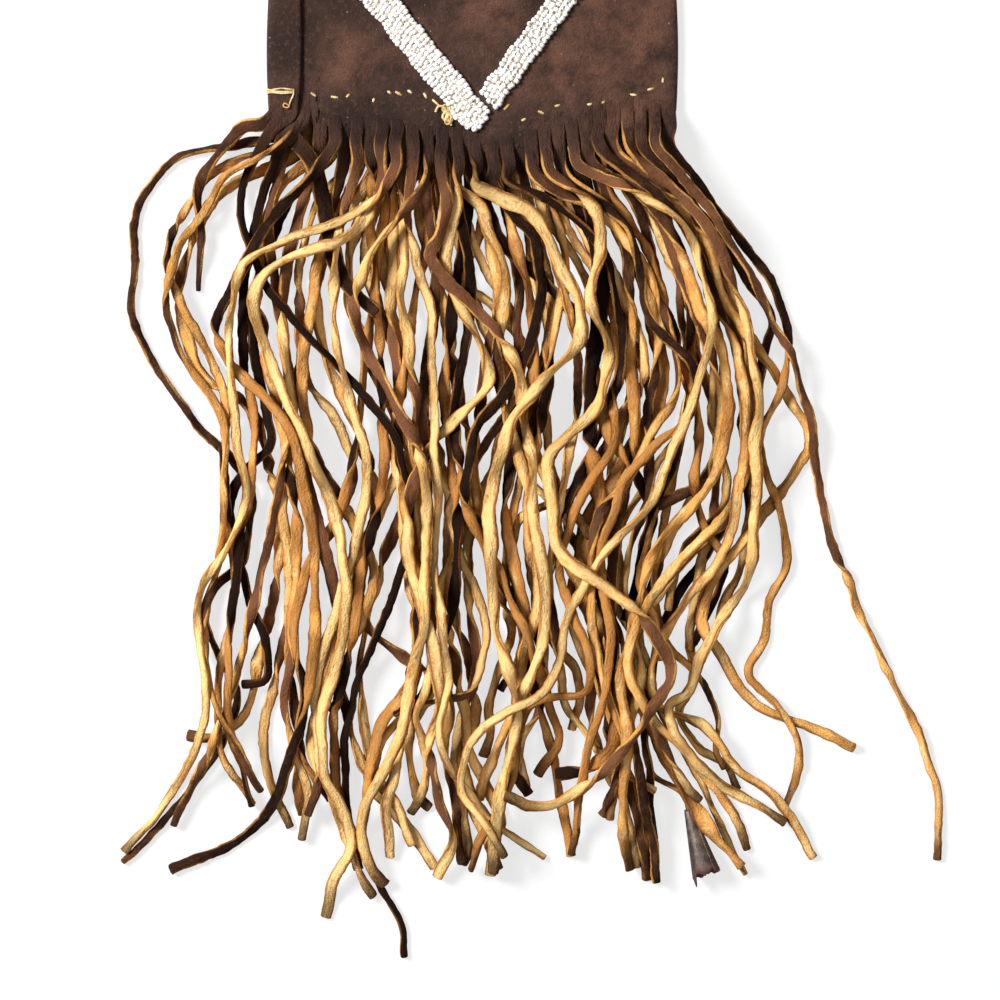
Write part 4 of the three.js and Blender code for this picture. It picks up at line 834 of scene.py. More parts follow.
# Thongs that lie between the two layers: cut from either of them, too many to be CAD nodes of their own
betweenThongs = [
    {"shows": "grain", "tone": -0.3, "wide": 1.7, "taper": 0.3, "over": 1, "turns": [], "route": [
        -0.072, 0.0088, -0.0665, 0, -0.0615, -0.009, -0.0585, -0.021, -0.0572, -0.034, -0.0535, -0.0455,
        -0.047, -0.0555, -0.0386, -0.0636,
    ]},
    {"shows": "grain", "tone": -0.2, "route": [
        -0.075, 0.01, -0.079, -0.002, -0.0842, -0.018, -0.089, -0.038, -0.0922, -0.062, -0.091, -0.086,
        -0.087, -0.11, -0.089, -0.134, -0.093, -0.158, -0.0962, -0.182, -0.0978, -0.206, -0.0962, -0.23,
        -0.0918, -0.248, -0.0882, -0.2604,
    ]},
    {"shows": "grain", "tone": -0.3, "route": [
        -0.073, 0.0092, -0.077, -0.004, -0.081, -0.024, -0.0802, -0.046, -0.0762, -0.07, -0.073, -0.094,
        -0.075, -0.118, -0.079, -0.142, -0.0842, -0.166, -0.0898, -0.19, -0.0962, -0.214, -0.105,
        -0.238, -0.115, -0.258, -0.1194, -0.2684,
    ]},
    {"shows": "grain", "tone": 0.1, "route": [
        -0.061, 0.008, -0.063, -0.004, -0.069, -0.022, -0.0738, -0.042, -0.0758, -0.066, -0.0738, -0.09,
        -0.0698, -0.114, -0.0642, -0.138, -0.0598, -0.154, -0.0562, -0.17, -0.0546, -0.188, -0.057,
        -0.202, -0.061, -0.218, -0.0642, -0.234, -0.0618, -0.25, -0.0658, -0.264,
    ]},
    {"shows": "flesh", "tone": -0.35, "route": [
        -0.051, 0.006, -0.0518, -0.004, -0.055, -0.018, -0.0602, -0.038, -0.0642, -0.058, -0.067,
        -0.078, -0.0678, -0.098, -0.065, -0.114, -0.059, -0.128, -0.0522, -0.14, -0.0462, -0.15,
        -0.0402, -0.162, -0.0402, -0.174, -0.0442, -0.186, -0.051, -0.198, -0.0538, -0.21, -0.0538,
        -0.218, -0.0562, -0.2228,
    ]},
    {"shows": "flesh", "tone": -0.3, "route": [
        -0.041, 0.006, -0.0402, -0.008, -0.0402, -0.03, -0.0386, -0.054, -0.037, -0.078, -0.0358,
        -0.102, -0.0354, -0.122, -0.037, -0.14, -0.041, -0.154, -0.045, -0.168, -0.0462, -0.184, -0.049,
        -0.198, -0.053, -0.214, -0.0558, -0.234, -0.0538, -0.254, -0.049, -0.274, -0.0458, -0.286,
    ]},
    {"shows": "flesh", "tone": -0.35, "route": [
        -0.031, 0.006, -0.0322, -0.006, -0.035, -0.022, -0.0378, -0.042, -0.0402, -0.062, -0.043,
        -0.082, -0.045, -0.102, -0.047, -0.12, -0.051, -0.136, -0.057, -0.15, -0.063, -0.16, -0.0678,
        -0.17, -0.0706, -0.186, -0.0698, -0.202, -0.067, -0.214, -0.069, -0.226, -0.0682, -0.238,
        -0.063, -0.25, -0.057, -0.258,
    ]},
    {"shows": "grain", "tone": -0.3, "route": [
        -0.019, 0.004, -0.0194, -0.008, -0.017, -0.026, -0.0146, -0.046, -0.0162, -0.07, -0.0194,
        -0.094, -0.0194, -0.114, -0.0186, -0.134, -0.019, -0.154, -0.019, -0.174, -0.0178, -0.19,
        -0.013, -0.202, -0.009, -0.218, -0.011, -0.238, -0.007, -0.258, -0.0042, -0.2836,
    ]},
    {"shows": "flesh", "tone": -0.35, "route": [
        -0.013, 0.004, -0.0138, -0.01, -0.0178, -0.034, -0.023, -0.058, -0.027, -0.082, -0.0298, -0.106,
        -0.0282, -0.13, -0.0242, -0.154, -0.0218, -0.178, -0.023, -0.198, -0.027, -0.214, -0.0338,
        -0.224, -0.0394, -0.236, -0.0418, -0.254, -0.0442, -0.274,
    ]},
    {"shows": "grain", "tone": -0.35, "route": [
        -0.007, 0.002, -0.0066, -0.01, -0.0042, -0.03, -0.001, -0.05, -0.0018, -0.07, -0.0058, -0.09,
        -0.007, -0.11, -0.0042, -0.13, -0.0002, -0.146, 0.0058, -0.1572, 0.011, -0.17, 0.019, -0.18,
        0.025, -0.19, 0.027, -0.202, 0.0222, -0.214, 0.019, -0.226, 0.017, -0.234, 0.015, -0.244,
        0.0222, -0.256,
    ]},
    {"shows": "grain", "tone": -0.3, "route": [
        0.001, 0.002, -0.001, -0.014, -0.0042, -0.038, -0.0082, -0.062, -0.0106, -0.086, -0.0098, -0.11,
        -0.007, -0.134, -0.0058, -0.158, -0.0082, -0.182, -0.013, -0.2, -0.019, -0.214, -0.025, -0.2204,
        -0.031, -0.2236,
    ]},
    {"shows": "flesh", "tone": -0.1, "route": [
        0.011, 0.002, 0.0122, -0.01, 0.0158, -0.03, 0.0222, -0.054, 0.025, -0.078, 0.021, -0.102,
        0.0158, -0.122, 0.013, -0.142, 0.0158, -0.162, 0.021, -0.182, 0.023, -0.202, 0.027, -0.222,
        0.0318, -0.238, 0.035, -0.258, 0.0398, -0.2804,
    ]},
    {"shows": "flesh", "tone": -0.2, "route": [
        0.019, 0.004, 0.0198, -0.008, 0.0238, -0.026, 0.029, -0.046, 0.0318, -0.066, 0.029, -0.086,
        0.025, -0.106, 0.027, -0.122, 0.033, -0.1372, 0.041, -0.144, 0.0478, -0.1524,
    ]},
    {"shows": "flesh", "tone": 0.1, "route": [
        0.025, 0.004, 0.0262, -0.008, 0.029, -0.028, 0.035, -0.05, 0.041, -0.074, 0.0422, -0.098, 0.039,
        -0.118, 0.035, -0.138, 0.031, -0.162, 0.0318, -0.182, 0.035, -0.202, 0.037, -0.22, 0.045,
        -0.2308, 0.053, -0.2408, 0.061, -0.248, 0.073, -0.254,
    ]},
    {"shows": "grain", "tone": -0.3, "route": [
        0.035, 0.006, 0.037, -0.004, 0.043, -0.022, 0.0498, -0.042, 0.0558, -0.062, 0.0582, -0.082,
        0.0542, -0.102, 0.0478, -0.118, 0.041, -0.132, 0.035, -0.146, 0.037, -0.162, 0.047, -0.178,
        0.053, -0.194, 0.0558, -0.214, 0.0542, -0.234, 0.057, -0.254, 0.055, -0.266,
    ]},
    {"shows": "grain", "tone": -0.35, "wide": 1.5, "route": [
        0.041, 0.006, 0.043, -0.004, 0.0478, -0.024, 0.051, -0.046, 0.0502, -0.07, 0.047, -0.094,
        0.0478, -0.118, 0.051, -0.142, 0.0502, -0.162, 0.053, -0.182, 0.057, -0.202, 0.0582, -0.222,
        0.055, -0.238, 0.045, -0.2452, 0.0334, -0.2476,
    ]},
    {"shows": "grain", "tone": -0.3, "route": [
        0.047, 0.006, 0.0498, -0.006, 0.057, -0.026, 0.0622, -0.046, 0.0638, -0.066, 0.063, -0.086,
        0.065, -0.106, 0.063, -0.126, 0.0582, -0.146, 0.0558, -0.166, 0.055, -0.186, 0.053, -0.206,
        0.0558, -0.226, 0.061, -0.246, 0.067, -0.27, 0.0698, -0.29,
    ]},
    {"shows": "grain", "tone": 0.1, "route": [
        0.055, 0.008, 0.0582, -0.004, 0.067, -0.024, 0.073, -0.044, 0.0758, -0.064, 0.073, -0.086,
        0.0702, -0.106, 0.071, -0.126, 0.067, -0.146, 0.061, -0.166, 0.063, -0.186, 0.067, -0.206,
        0.0638, -0.226, 0.067, -0.25, 0.0718, -0.274, 0.0738, -0.2908,
    ]},
    {"shows": "flesh", "tone": -0.2, "wide": 0.7, "route": [
        0.063, 0.008, 0.067, -0.004, 0.075, -0.024, 0.083, -0.046, 0.0878, -0.07, 0.087, -0.094, 0.083,
        -0.114, 0.0798, -0.134, 0.075, -0.154, 0.073, -0.174, 0.077, -0.194, 0.087, -0.2052, 0.0942,
        -0.214, 0.0982, -0.2252, 0.097, -0.238, 0.101, -0.2452,
    ]},
    {"shows": "grain", "tone": 0.0, "wide": 1.25, "route": [
        0.067, 0.008, 0.069, -0.004, 0.0742, -0.022, 0.081, -0.042, 0.089, -0.062, 0.0958, -0.082,
        0.0998, -0.102, 0.0982, -0.118, 0.091, -0.1316, 0.083, -0.1356, 0.0742, -0.1404,
    ]},
    {"shows": "flesh", "tone": 0.1, "route": [
        0.071, 0.01, 0.075, -0.002, 0.085, -0.022, 0.095, -0.042, 0.103, -0.066, 0.109, -0.09, 0.1094,
        -0.114, 0.107, -0.13, 0.101, -0.146, 0.091, -0.156, 0.083, -0.164, 0.075, -0.176, 0.069, -0.184,
        0.065, -0.198, 0.067, -0.214, 0.073, -0.23, 0.0798, -0.242, 0.087, -0.254, 0.091, -0.258,
    ]},
    {"shows": "flesh", "tone": 0.1, "wide": 1.15, "route": [
        -0.009, 0.002, -0.0042, -0.014, 0.003, -0.0208, 0.0062, -0.03, 0.011, -0.04, 0.013, -0.05,
        0.0122, -0.0632, 0.0098, -0.082, 0.013, -0.102, 0.019, -0.122, 0.0238, -0.142, 0.0262, -0.162,
        0.0258, -0.182, 0.0206, -0.198, 0.0182, -0.214, 0.0166, -0.2228, 0.013, -0.23, 0.0086, -0.24,
        0.0046, -0.25, 0.003, -0.258,
    ]},
    {"shows": "grain", "tone": -0.25, "route": [
        -0.0018, -0.002, 0.001, -0.014, 0.0058, -0.022, 0.011, -0.0328, 0.0178, -0.042, 0.0258, -0.048,
        0.0382, -0.0608, 0.047, -0.078, 0.051, -0.098, 0.0558, -0.114, 0.0662, -0.13, 0.0718, -0.144,
        0.069, -0.156, 0.0662, -0.17, 0.061, -0.186,
    ]},
    {"shows": "flesh", "tone": -0.25, "route": [
        0.051, 0.004, 0.055, -0.0132, 0.0606, -0.0228, 0.0654, -0.0308, 0.071, -0.0412, 0.0758, -0.054,
        0.0798, -0.07, 0.085, -0.086, 0.0898, -0.102, 0.0906, -0.116, 0.0878, -0.13, 0.0918, -0.146,
        0.0998, -0.162, 0.0982, -0.174, 0.093, -0.186, 0.087, -0.198,
    ]},
    {"shows": "grain", "tone": -0.1, "route": [
        0.067, 0.006, 0.071, -0.01, 0.0782, -0.028, 0.085, -0.046, 0.087, -0.066, 0.0846, -0.082, 0.087,
        -0.098, 0.0838, -0.114, 0.0782, -0.13, 0.073, -0.144, 0.0694, -0.156, 0.067, -0.17, 0.073,
        -0.186, 0.075, -0.202,
    ]},
    {"shows": "flesh", "tone": 0.25, "route": [
        -0.027, 0.002, -0.0282, -0.014, -0.0274, -0.03, -0.027, -0.042, -0.029, -0.054, -0.0258, -0.074,
        -0.023, -0.098, -0.0242, -0.122, -0.021, -0.146, -0.0178, -0.17, -0.0162, -0.194, -0.019,
        -0.214, -0.0218, -0.224, -0.0194, -0.236, -0.0182, -0.246, -0.0202, -0.256, -0.025, -0.2632,
    ]},
    {"shows": "flesh", "tone": -0.2, "route": [
        0.029, 0.002, 0.0302, -0.014, 0.035, -0.03, 0.037, -0.05, 0.033, -0.07, 0.0302, -0.09, 0.027,
        -0.11, 0.023, -0.13, 0.0222, -0.15, 0.0238, -0.17, 0.027, -0.186, 0.035, -0.198, 0.041, -0.206,
        0.043, -0.218, 0.0398, -0.23,
    ]},
    {"shows": "flesh", "tone": -0.2, "over": -1, "route": [
        0.0022, -0.002, 0.0046, -0.018, 0.0062, -0.034, 0.0086, -0.0428, 0.0102, -0.054, 0.0078, -0.07,
        0.005, -0.086, 0.0022, -0.106, 0.0006, -0.126, 0.003, -0.146, 0.0078, -0.166, 0.0122, -0.178,
        0.0154, -0.19, 0.0134, -0.2, 0.0094, -0.21, 0.0062, -0.22, 0.0074, -0.232, 0.0046, -0.2408,
    ]},
    {"shows": "grain", "tone": -0.1, "over": -1, "route": [
        0.0102, -0.0028, 0.013, -0.02, 0.0158, -0.034, 0.0174, -0.046, 0.019, -0.058, 0.0174, -0.072,
        0.019, -0.09, 0.0222, -0.11, 0.019, -0.13, 0.015, -0.15, 0.0134, -0.17, 0.017, -0.182, 0.0198,
        -0.194, 0.017, -0.2052, 0.011, -0.214,
    ]},
    {"shows": "flesh", "tone": -0.2, "over": -1, "route": [
        0.073, 0.004, 0.0782, -0.014, 0.087, -0.03, 0.093, -0.05, 0.0958, -0.07, 0.0966, -0.09, 0.0954,
        -0.106, 0.0998, -0.118, 0.1014, -0.13, 0.099, -0.142, 0.0918, -0.15, 0.0854, -0.156, 0.081,
        -0.168, 0.0782, -0.182,
    ]},
    {"shows": "flesh", "tone": -0.05, "over": -1, "route": [
        0.077, 0.004, 0.087, -0.018, 0.0958, -0.038, 0.1022, -0.058, 0.1062, -0.078, 0.1078, -0.098,
        0.109, -0.118, 0.1102, -0.138, 0.109, -0.156, 0.105, -0.17, 0.0998, -0.182, 0.0958, -0.194,
    ]},
    {"shows": "flesh", "tone": 0.2, "wide": 1.2, "over": -1, "route": [
        -0.035, 0, -0.0322, -0.018, -0.031, -0.04, -0.033, -0.058, -0.031, -0.078, -0.029, -0.098,
        -0.0306, -0.118, -0.0282, -0.138, -0.0258, -0.162, -0.0234, -0.182, -0.0218, -0.202, -0.0242,
        -0.218, -0.0254, -0.234, -0.0246, -0.246, -0.0218, -0.2572, -0.017, -0.2612,
    ]},
]

lowerEdge = [          # lower edge of the hide, where the cuts begin, from the left to the fold
    (-0.081, 0.018), (-0.057, 0.012), (-0.029, 0.010), (-0.001, 0.002),
    (0.007, 0.0), (0.035, 0.008), (0.059, 0.014), (0.081, 0.018),
]

slitTops = [           # upper end of each slit between two thongs, on the front
    (-0.0772, 0.0164), (-0.0710, 0.0228), (-0.0684, 0.0212), (-0.0640, 0.0172), (-0.0610, 0.0216),
    (-0.0547, 0.0140), (-0.0514, 0.0140), (-0.0464, 0.0090), (-0.0426, 0.0090), (-0.0382, 0.0114),
    (-0.0338, 0.0109), (-0.0302, 0.0114), (-0.0278, 0.0104), (-0.0195, 0.0104), (-0.0151, 0.0090),
    (-0.0088, 0.0076), (-0.0034, 0.0056), (0.0006, -0.0020), (0.0054, -0.0012), (0.0090, -0.0024),
    (0.0174, 0.0028), (0.0226, 0.0034), (0.0273, 0.0028), (0.0336, 0.0076), (0.0393, 0.0112),
    (0.0466, 0.0092), (0.0529, 0.0122), (0.0597, 0.0133), (0.0644, 0.0154), (0.0712, 0.0164),
    (0.0774, 0.0154), (0.0794, 0.0170),
]


def edgeY(x):
    xs, ys = zip(*lowerEdge)
    return foot + np.interp(x, xs, ys)


# How far the hide is cut up between the roots of the front thongs
def slitRise(x, middles):
    xs, ys = zip(*slitTops)
    rises = np.clip(foot + np.interp(middles, xs, ys) - edgeY(middles), *fringe["slitRise"])
    half = fringe["slit"] / 2
    beside = np.full(len(middles), fringe["slitSide"])
    places = np.concatenate([middles - half, middles, middles + half])
    values = np.concatenate([beside, rises, beside])
    order = np.argsort(places)
    return np.interp(x, places[order], values[order])


# Curve through the points, as even steps
def routeLine(points, step, perSpan=24, fewest=8):
    points = np.array(points, float)
    before = 2 * points[0] - points[1]
    after = 2 * points[-1] - points[-2]
    points = np.concatenate([[before], points, [after]])
    dense = []
    for p0, p1, p2, p3 in zip(points, points[1:], points[2:], points[3:]):
        gaps = [math.sqrt(np.linalg.norm(b - a)) for a, b in ((p0, p1), (p1, p2), (p2, p3))]
        k0, k1, k2, k3 = np.cumsum([0] + gaps)
        t = np.linspace(k1, k2, perSpan, endpoint=False)[:, None]
        a1 = ((k1 - t) * p0 + (t - k0) * p1) / (k1 - k0)
        a2 = ((k2 - t) * p1 + (t - k1) * p2) / (k2 - k1)
        a3 = ((k3 - t) * p2 + (t - k2) * p3) / (k3 - k2)
        b1 = ((k2 - t) * a1 + (t - k0) * a2) / (k2 - k0)
        b2 = ((k3 - t) * a2 + (t - k1) * a3) / (k3 - k1)
        dense.append(((k2 - t) * b1 + (t - k1) * b2) / (k2 - k1))
    dense = np.concatenate(dense + [points[-2:-1]])
    run = np.concatenate([[0], np.cumsum(np.linalg.norm(np.diff(dense, axis=0), axis=1))])
    places = np.linspace(0, run[-1], max(int(run[-1] / step), fewest))
    return np.stack([np.interp(places, run, dense[:, k]) for k in range(dense.shape[1])], axis=1), places


def headings(line):
    ahead = np.gradient(line, axis=0)
    return ahead / np.linalg.norm(ahead, axis=1)[:, None]


# Three sines of about one length, with chance lengths and starts
def wave(rng, places, length, amount):
    total = np.zeros_like(places)
    for _ in range(3):
        total += np.sin(2 * math.pi * (places / (length * rng.uniform(0.7, 1.5)) + rng.random()))
    return amount * total / 2


def eased(value, low, high):
    t = np.clip((value - low) / (high - low), 0, 1)
    return t * t * (3 - 2 * t)


# Heights of what lies on the floor, on a grid of small cells
class Ground:
    def __init__(self, low, high, cell):
        self.low = np.array(low)
        self.cell = cell
        self.tops = np.zeros(((np.array(high) - self.low) / cell).astype(int) + 1)

    def index(self, plan):
        at = np.round((plan - self.low) / self.cell).astype(int)
        at = np.clip(at, 0, np.array(self.tops.shape) - 1)
        return at[..., 0], at[..., 1]

    # Height that the middle of a strip needs, to clear what is under it
    def needed(self, line, side, halfWide, halfHigh):
        most = halfHigh.copy()
        for share in np.linspace(-0.96, 0.96, 13):
            bulge = math.sqrt(1 - share * share)
            under = self.tops[self.index(line + side * (share * halfWide)[:, None])]
            most = np.maximum(most, under + halfHigh * bulge)
        return most

    def cover(self, line, side, halfWide, halfHigh, middle):
        fine = np.linspace(0, len(line) - 1, 5 * len(line))
        whole = np.arange(len(line))
        line = np.stack([np.interp(fine, whole, line[:, k]) for k in range(2)], axis=1)
        side = np.stack([np.interp(fine, whole, side[:, k]) for k in range(2)], axis=1)
        wide, high, mid = (np.interp(fine, whole, v) for v in (halfWide, halfHigh, middle))
        for share in np.linspace(-1, 1, 15):
            bulge = math.sqrt(max(1 - share * share, 0.02))
            at = self.index(line + side * (share * wide)[:, None])
            np.maximum.at(self.tops, at, mid + high * bulge)


ground = Ground((-0.20, -0.53), (0.23, -0.13), fringe["cell"])


# How far each strip has rolled over along its length: it turns half over in a short stretch now and then
def rollAlong(rng, places, layer, shows, given):
    startsAs = fringe["rootUp"][layer]
    roll = np.full_like(places, 0.0 if startsAs == "grain" else math.pi)
    turns = []
    if shows != startsAs:
        turns.append(rng.uniform(*fringe["firstTurn"]))
    at = rng.uniform(*fringe["nextTurn"])
    while at < places[-1] - fringe["noTurn"]:
        stretch = rng.uniform(*fringe["otherFace"][shows])
        turns += [at, at + stretch]
        at += stretch + rng.uniform(*fringe["turnGap"])
    if given is not None:
        turns = given
    way = 1
    for turn in turns:
        half = fringe["turnLength"] * rng.uniform(*fringe["turnSpread"])
        roll = roll + way * math.pi * eased(places, turn - half, turn + half)
        way = way if rng.random() < fringe["sameWay"] else -way
    return roll + wave(rng, places, *fringe["wobble"]) * eased(places, *fringe["rollFrom"])


# Section of a strip at each place: x across, z through, and how far each point is on the grain side.
# A root is squarer than the free strip.
def stripSections(width, thickness, square, curl):
    count = fringe["sidePoints"]
    angle = 2 * math.pi * (np.arange(count) + 0.5) / count
    flatX = np.sign(np.cos(angle)) * np.abs(np.cos(angle)) ** (0.8 - 0.45 * square)[:, None]
    flatZ = np.sign(np.sin(angle)) * np.abs(np.sin(angle)) ** (0.75 - 0.4 * square)[:, None]
    x = 0.5 * width[:, None] * flatX
    z = 0.5 * thickness[:, None] * flatZ + curl[:, None] * (2 * x / fringe["width"]) ** 2
    face = np.sign(flatZ) * np.clip(1 - np.abs(flatX) ** 2.4, 0, 1) ** 0.8
    return x, z, face


def stripMesh(name, line, places, sections, roll, tone, own):
    ahead = headings(line)
    side = np.cross(ahead, (0.0, 0.0, 1.0))
    side /= np.linalg.norm(side, axis=1)[:, None]
    over = np.cross(side, ahead)
    across = side * np.cos(roll)[:, None] + over * np.sin(roll)[:, None]
    outward = over * np.cos(roll)[:, None] - side * np.sin(roll)[:, None]
    count = fringe["sidePoints"]
    # a smaller ring at each end rounds the cut
    order = np.concatenate([[0], np.arange(len(line)), [len(line) - 1]])
    size = np.ones(len(order))
    size[[0, -1]] = fringe["endSize"]
    push = np.zeros(len(order))
    push[[0, -1]] = fringe["endPush"]
    centre = line[order] + ahead[order] * push[:, None]
    x, z, face = (part[order] for part in sections)
    x = x * size[:, None]
    z = z * size[:, None]
    rings = centre[:, None, :] + across[order][:, None, :] * x[..., None]
    rings = rings + outward[order][:, None, :] * z[..., None]
    points = np.concatenate([rings.reshape(-1, 3), centre[[0, -1]]])
    rows = len(order)
    faces = []
    for i in range(rows - 1):
        for j in range(count):
            k = (j + 1) % count
            faces.append((i * count + j, (i + 1) * count + j, (i + 1) * count + k, i * count + k))
    first, last = rows * count, rows * count + 1
    for j in range(count):
        k = (j + 1) % count
        faces.append((first, j, k))
        faces.append((last, (rows - 1) * count + k, (rows - 1) * count + j))
    mesh = bpy.data.meshes.new(name)
    mesh.from_pydata(points.tolist(), [], faces)
    along = np.repeat(places[order], count)
    strip = np.stack([along, x.ravel(), z.ravel()], axis=1)
    strip = np.concatenate([strip, [[0, 0, 0], [places[-1], 0, 0]]])
    face = np.concatenate([face.ravel(), [0, 0]])
    look = np.stack([face, np.full_like(face, tone), np.full_like(face, own)], axis=1)
    for label, values in (("strip", strip), ("look", look)):
        mesh.attributes.new(label, "FLOAT_VECTOR", "POINT").data.foreach_set("vector", values.ravel())
    mesh.attributes.new("toTip", "FLOAT", "POINT").data.foreach_set("value", places[-1] - strip[:, 0])
    smoothShaded(mesh)
    return mesh


# Where the roots leave the hide: as near their routes as the width of a cut thong lets them
def rootPlaces(thongs):
    limit = halfWidth - sideInset
    pitch = fringe["cutPitch"]
    places = [thong["route"][0] for thong in thongs]
    last = -limit - pitch
    for i in range(len(places)):
        places[i] = last = max(places[i], last + pitch)
    last = limit + pitch
    for i in reversed(range(len(places))):
        places[i] = last = min(places[i], last - pitch)
    return places


# From inside the hide straight down for a little way, then along the route
def thongPlan(route, rootX, lean):
    rootY = float(edgeY(rootX))
    plan = [(rootX, rootY + fringe["tuck"]), (rootX, rootY)]
    if foot + route[1] < rootY - fringe["dropRoom"]:
        plan.append((rootX + lean, rootY - fringe["rootDrop"]))
    return plan + [(route[i], foot + route[i + 1]) for i in range(0, len(route), 2)]


# Height of a strip's middle: on what is under it, sagging beside that, and held in the hide at its root
def restingHeight(line, side, places, halfWide, below, rootZ):
    needed = ground.needed(line, side, halfWide, below) + fringe["clear"]
    lift = needed[None, :] - fringe["sag"] * (places[:, None] - places[None, :]) ** 2
    kernel = np.exp(-np.linspace(-2, 2, 9) ** 2)
    padded = np.pad(lift.max(axis=1), len(kernel) // 2, mode="edge")
    smooth = np.convolve(padded, kernel / kernel.sum(), "valid")
    middle = np.maximum(smooth, needed - fringe["clear"] / 2)
    start, end = fringe["heldBy"]
    held = eased(places, fringe["tuck"] + start, fringe["tuck"] + end)
    return rootZ * (1 - held) + middle * held


def layThong(name, layer, thong, rootX, number):
    rng = np.random.default_rng(fringe["seed"] + fringe["firstSeed"][layer] + number)
    rootZ = fringe["rootLevel"][layer]
    if layer == "front" and rootX < fringe["lapEdge"]:
        rootZ += fringe["lapRise"]
    lean = rng.uniform(-fringe["rootLean"], fringe["rootLean"])
    line, places = routeLine(thongPlan(thong["route"], rootX, lean), fringe["step"])
    ahead = headings(line)
    side = np.stack([ahead[:, 1], -ahead[:, 0]], axis=1)
    free = eased(places, *fringe["freeFrom"])
    drift = wave(rng, places, *fringe["drift"]) + wave(rng, places, *fringe["fineDrift"])
    line = line + side * (drift * free)[:, None]

    # width and thickness: those of the cut root, then the strip's own
    tuck = fringe["tuck"]
    start, end = fringe["rootEnds"]
    root = 1 - eased(places, tuck + start, tuck + end)
    own = fringe["width"] * thong.get("wide", rng.uniform(*fringe["wideSpread"]))
    width = own * (1 + wave(rng, places, *fringe["widening"]))
    width = width * (1 + wave(rng, places, *fringe["fineWidening"]))
    width = width * (1 - root) + fringe["rootWidth"] * rng.uniform(*fringe["rootSpread"]) * root
    narrows = eased(places, fringe["taperFrom"] * places[-1], places[-1])
    width *= 1 - thong.get("taper", fringe["taper"]) * narrows
    thickness = fringe["thickness"] * rng.uniform(*fringe["thickSpread"])
    thickness = thickness * (1 + wave(rng, places, *fringe["thickening"]))
    thickness = thickness * (1 - root) + fringe["rootThickness"] * root
    roll = rollAlong(rng, places, layer, thong["shows"], thong.get("turns"))
    curl = wave(rng, places, *fringe["curl"]) * free
    sections = stripSections(width, thickness, root, curl)
    for way in (-1, 1):
        ragged = wave(rng, places, *fringe["ragged"]) + rng.normal(0, fringe["nicks"], len(places))
        ragged = ragged * free
        sections[0][:] += ragged[:, None] * np.clip(way * sections[0] / (0.5 * own), 0, 1)

    turn = roll[:, None]
    level = sections[0] * np.cos(turn) - sections[1] * np.sin(turn)
    rise = sections[0] * np.sin(turn) + sections[1] * np.cos(turn)
    halfWide = np.abs(level).max(axis=1)
    above = rise.max(axis=1) * fringe["pressed"]
    middle = restingHeight(line, side, places, halfWide, -rise.min(axis=1), rootZ)
    out = places > tuck
    ground.cover(line[out], side[out], halfWide[out], above[out], middle[out])

    whole = np.column_stack([line, middle])
    tone = thong["tone"] + rng.uniform(*fringe["toneSpread"])
    mesh = stripMesh(name, whole, places, sections, roll, tone, rng.random())
    return addObject(name, mesh, thongMaterial), whole


laidThongs = []


def layFringe(layer, thongs):
    roots = [thong["route"][0] for thong in thongs] if layer == "between" else rootPlaces(thongs)
    order = sorted(range(len(thongs)), key=lambda i: (thongs[i].get("over", 0), i % 2, i))
    for i in order:
        name = "thong_" + layer + "_" + str(i + 1)
        piece, line = layThong(name, layer, thongs[i], roots[i], i)
        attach(piece, "root")
        if layer != "between":
            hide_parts(layer + "_thong_" + str(i + 1))
        laidThongs.append((piece, line, layer, i + 1))
    print(layer, "fringe laid, highest", round(float(ground.tops.max()) * 1000, 1), "mm")


# Tin cone: a sheet rolled up with its edges lapped, torn and rusted at the rim
cone = {
    "tip": (0.0863, foot - 0.2618, 0.0020),
    "heading": (7.2, -25.8),
    "length": 0.027,
    "tipRadius": 0.0015,
    "rimRadius": 0.0056,
    "wall": 0.0004,
    "clear": 0.00015,         # air under the rim
    "around": 44,
    "rows": 16,
    "seamAt": 2.2,            # radians round the axis
    "lap": 0.5,               # radians that the rolled edges pass each other
    "windsIn": 0.035,         # share of its radius that the roll loses in one turn
    "dent": 0.025,
    "coarseRim": (1.1, 0.035),    # waves of the torn rim: length in radians and amount
    "fineRim": (0.35, 0.012),
    "torn": {"by": 0.15, "at": 4.5, "reach": 0.17},    # a torn point at one side
    "seed": 21,
    "thong": 23,              # the back thong that carries it
    "crossedFrom": 0.25,      # share of its length, from the tip, where thongs begin to cross it
}
coneHeading = np.array(cone["heading"]) / np.hypot(*cone["heading"])


def coneRadius(share):
    return cone["tipRadius"] + (cone["rimRadius"] - cone["tipRadius"]) * share


# The cone lies on the floor before the thongs that cross it
def coverCone():
    shares = np.linspace(cone["crossedFrom"], 1, 20)
    line = np.array(cone["tip"][:2]) + coneHeading * (shares * cone["length"])[:, None]
    side = np.tile([coneHeading[1], -coneHeading[0]], (len(shares), 1))
    radius = coneRadius(shares)
    middle = cone["tip"][2] + (cone["rimRadius"] - cone["tip"][2]) * shares
    ground.cover(line, side, radius, radius, middle)


coverCone()
layFringe("back", backThongs)
layFringe("between", betweenThongs)
layFringe("front", frontThongs)

# Which pieces to declare as cords: the count is limited, so the rest go with the pouch as its fringe
mostCords = 40
declared = [entry for entry in laidThongs if entry[2] == "front"]
declared += [entry for entry in laidThongs if entry[2] == "back"][: mostCords - len(declared)]


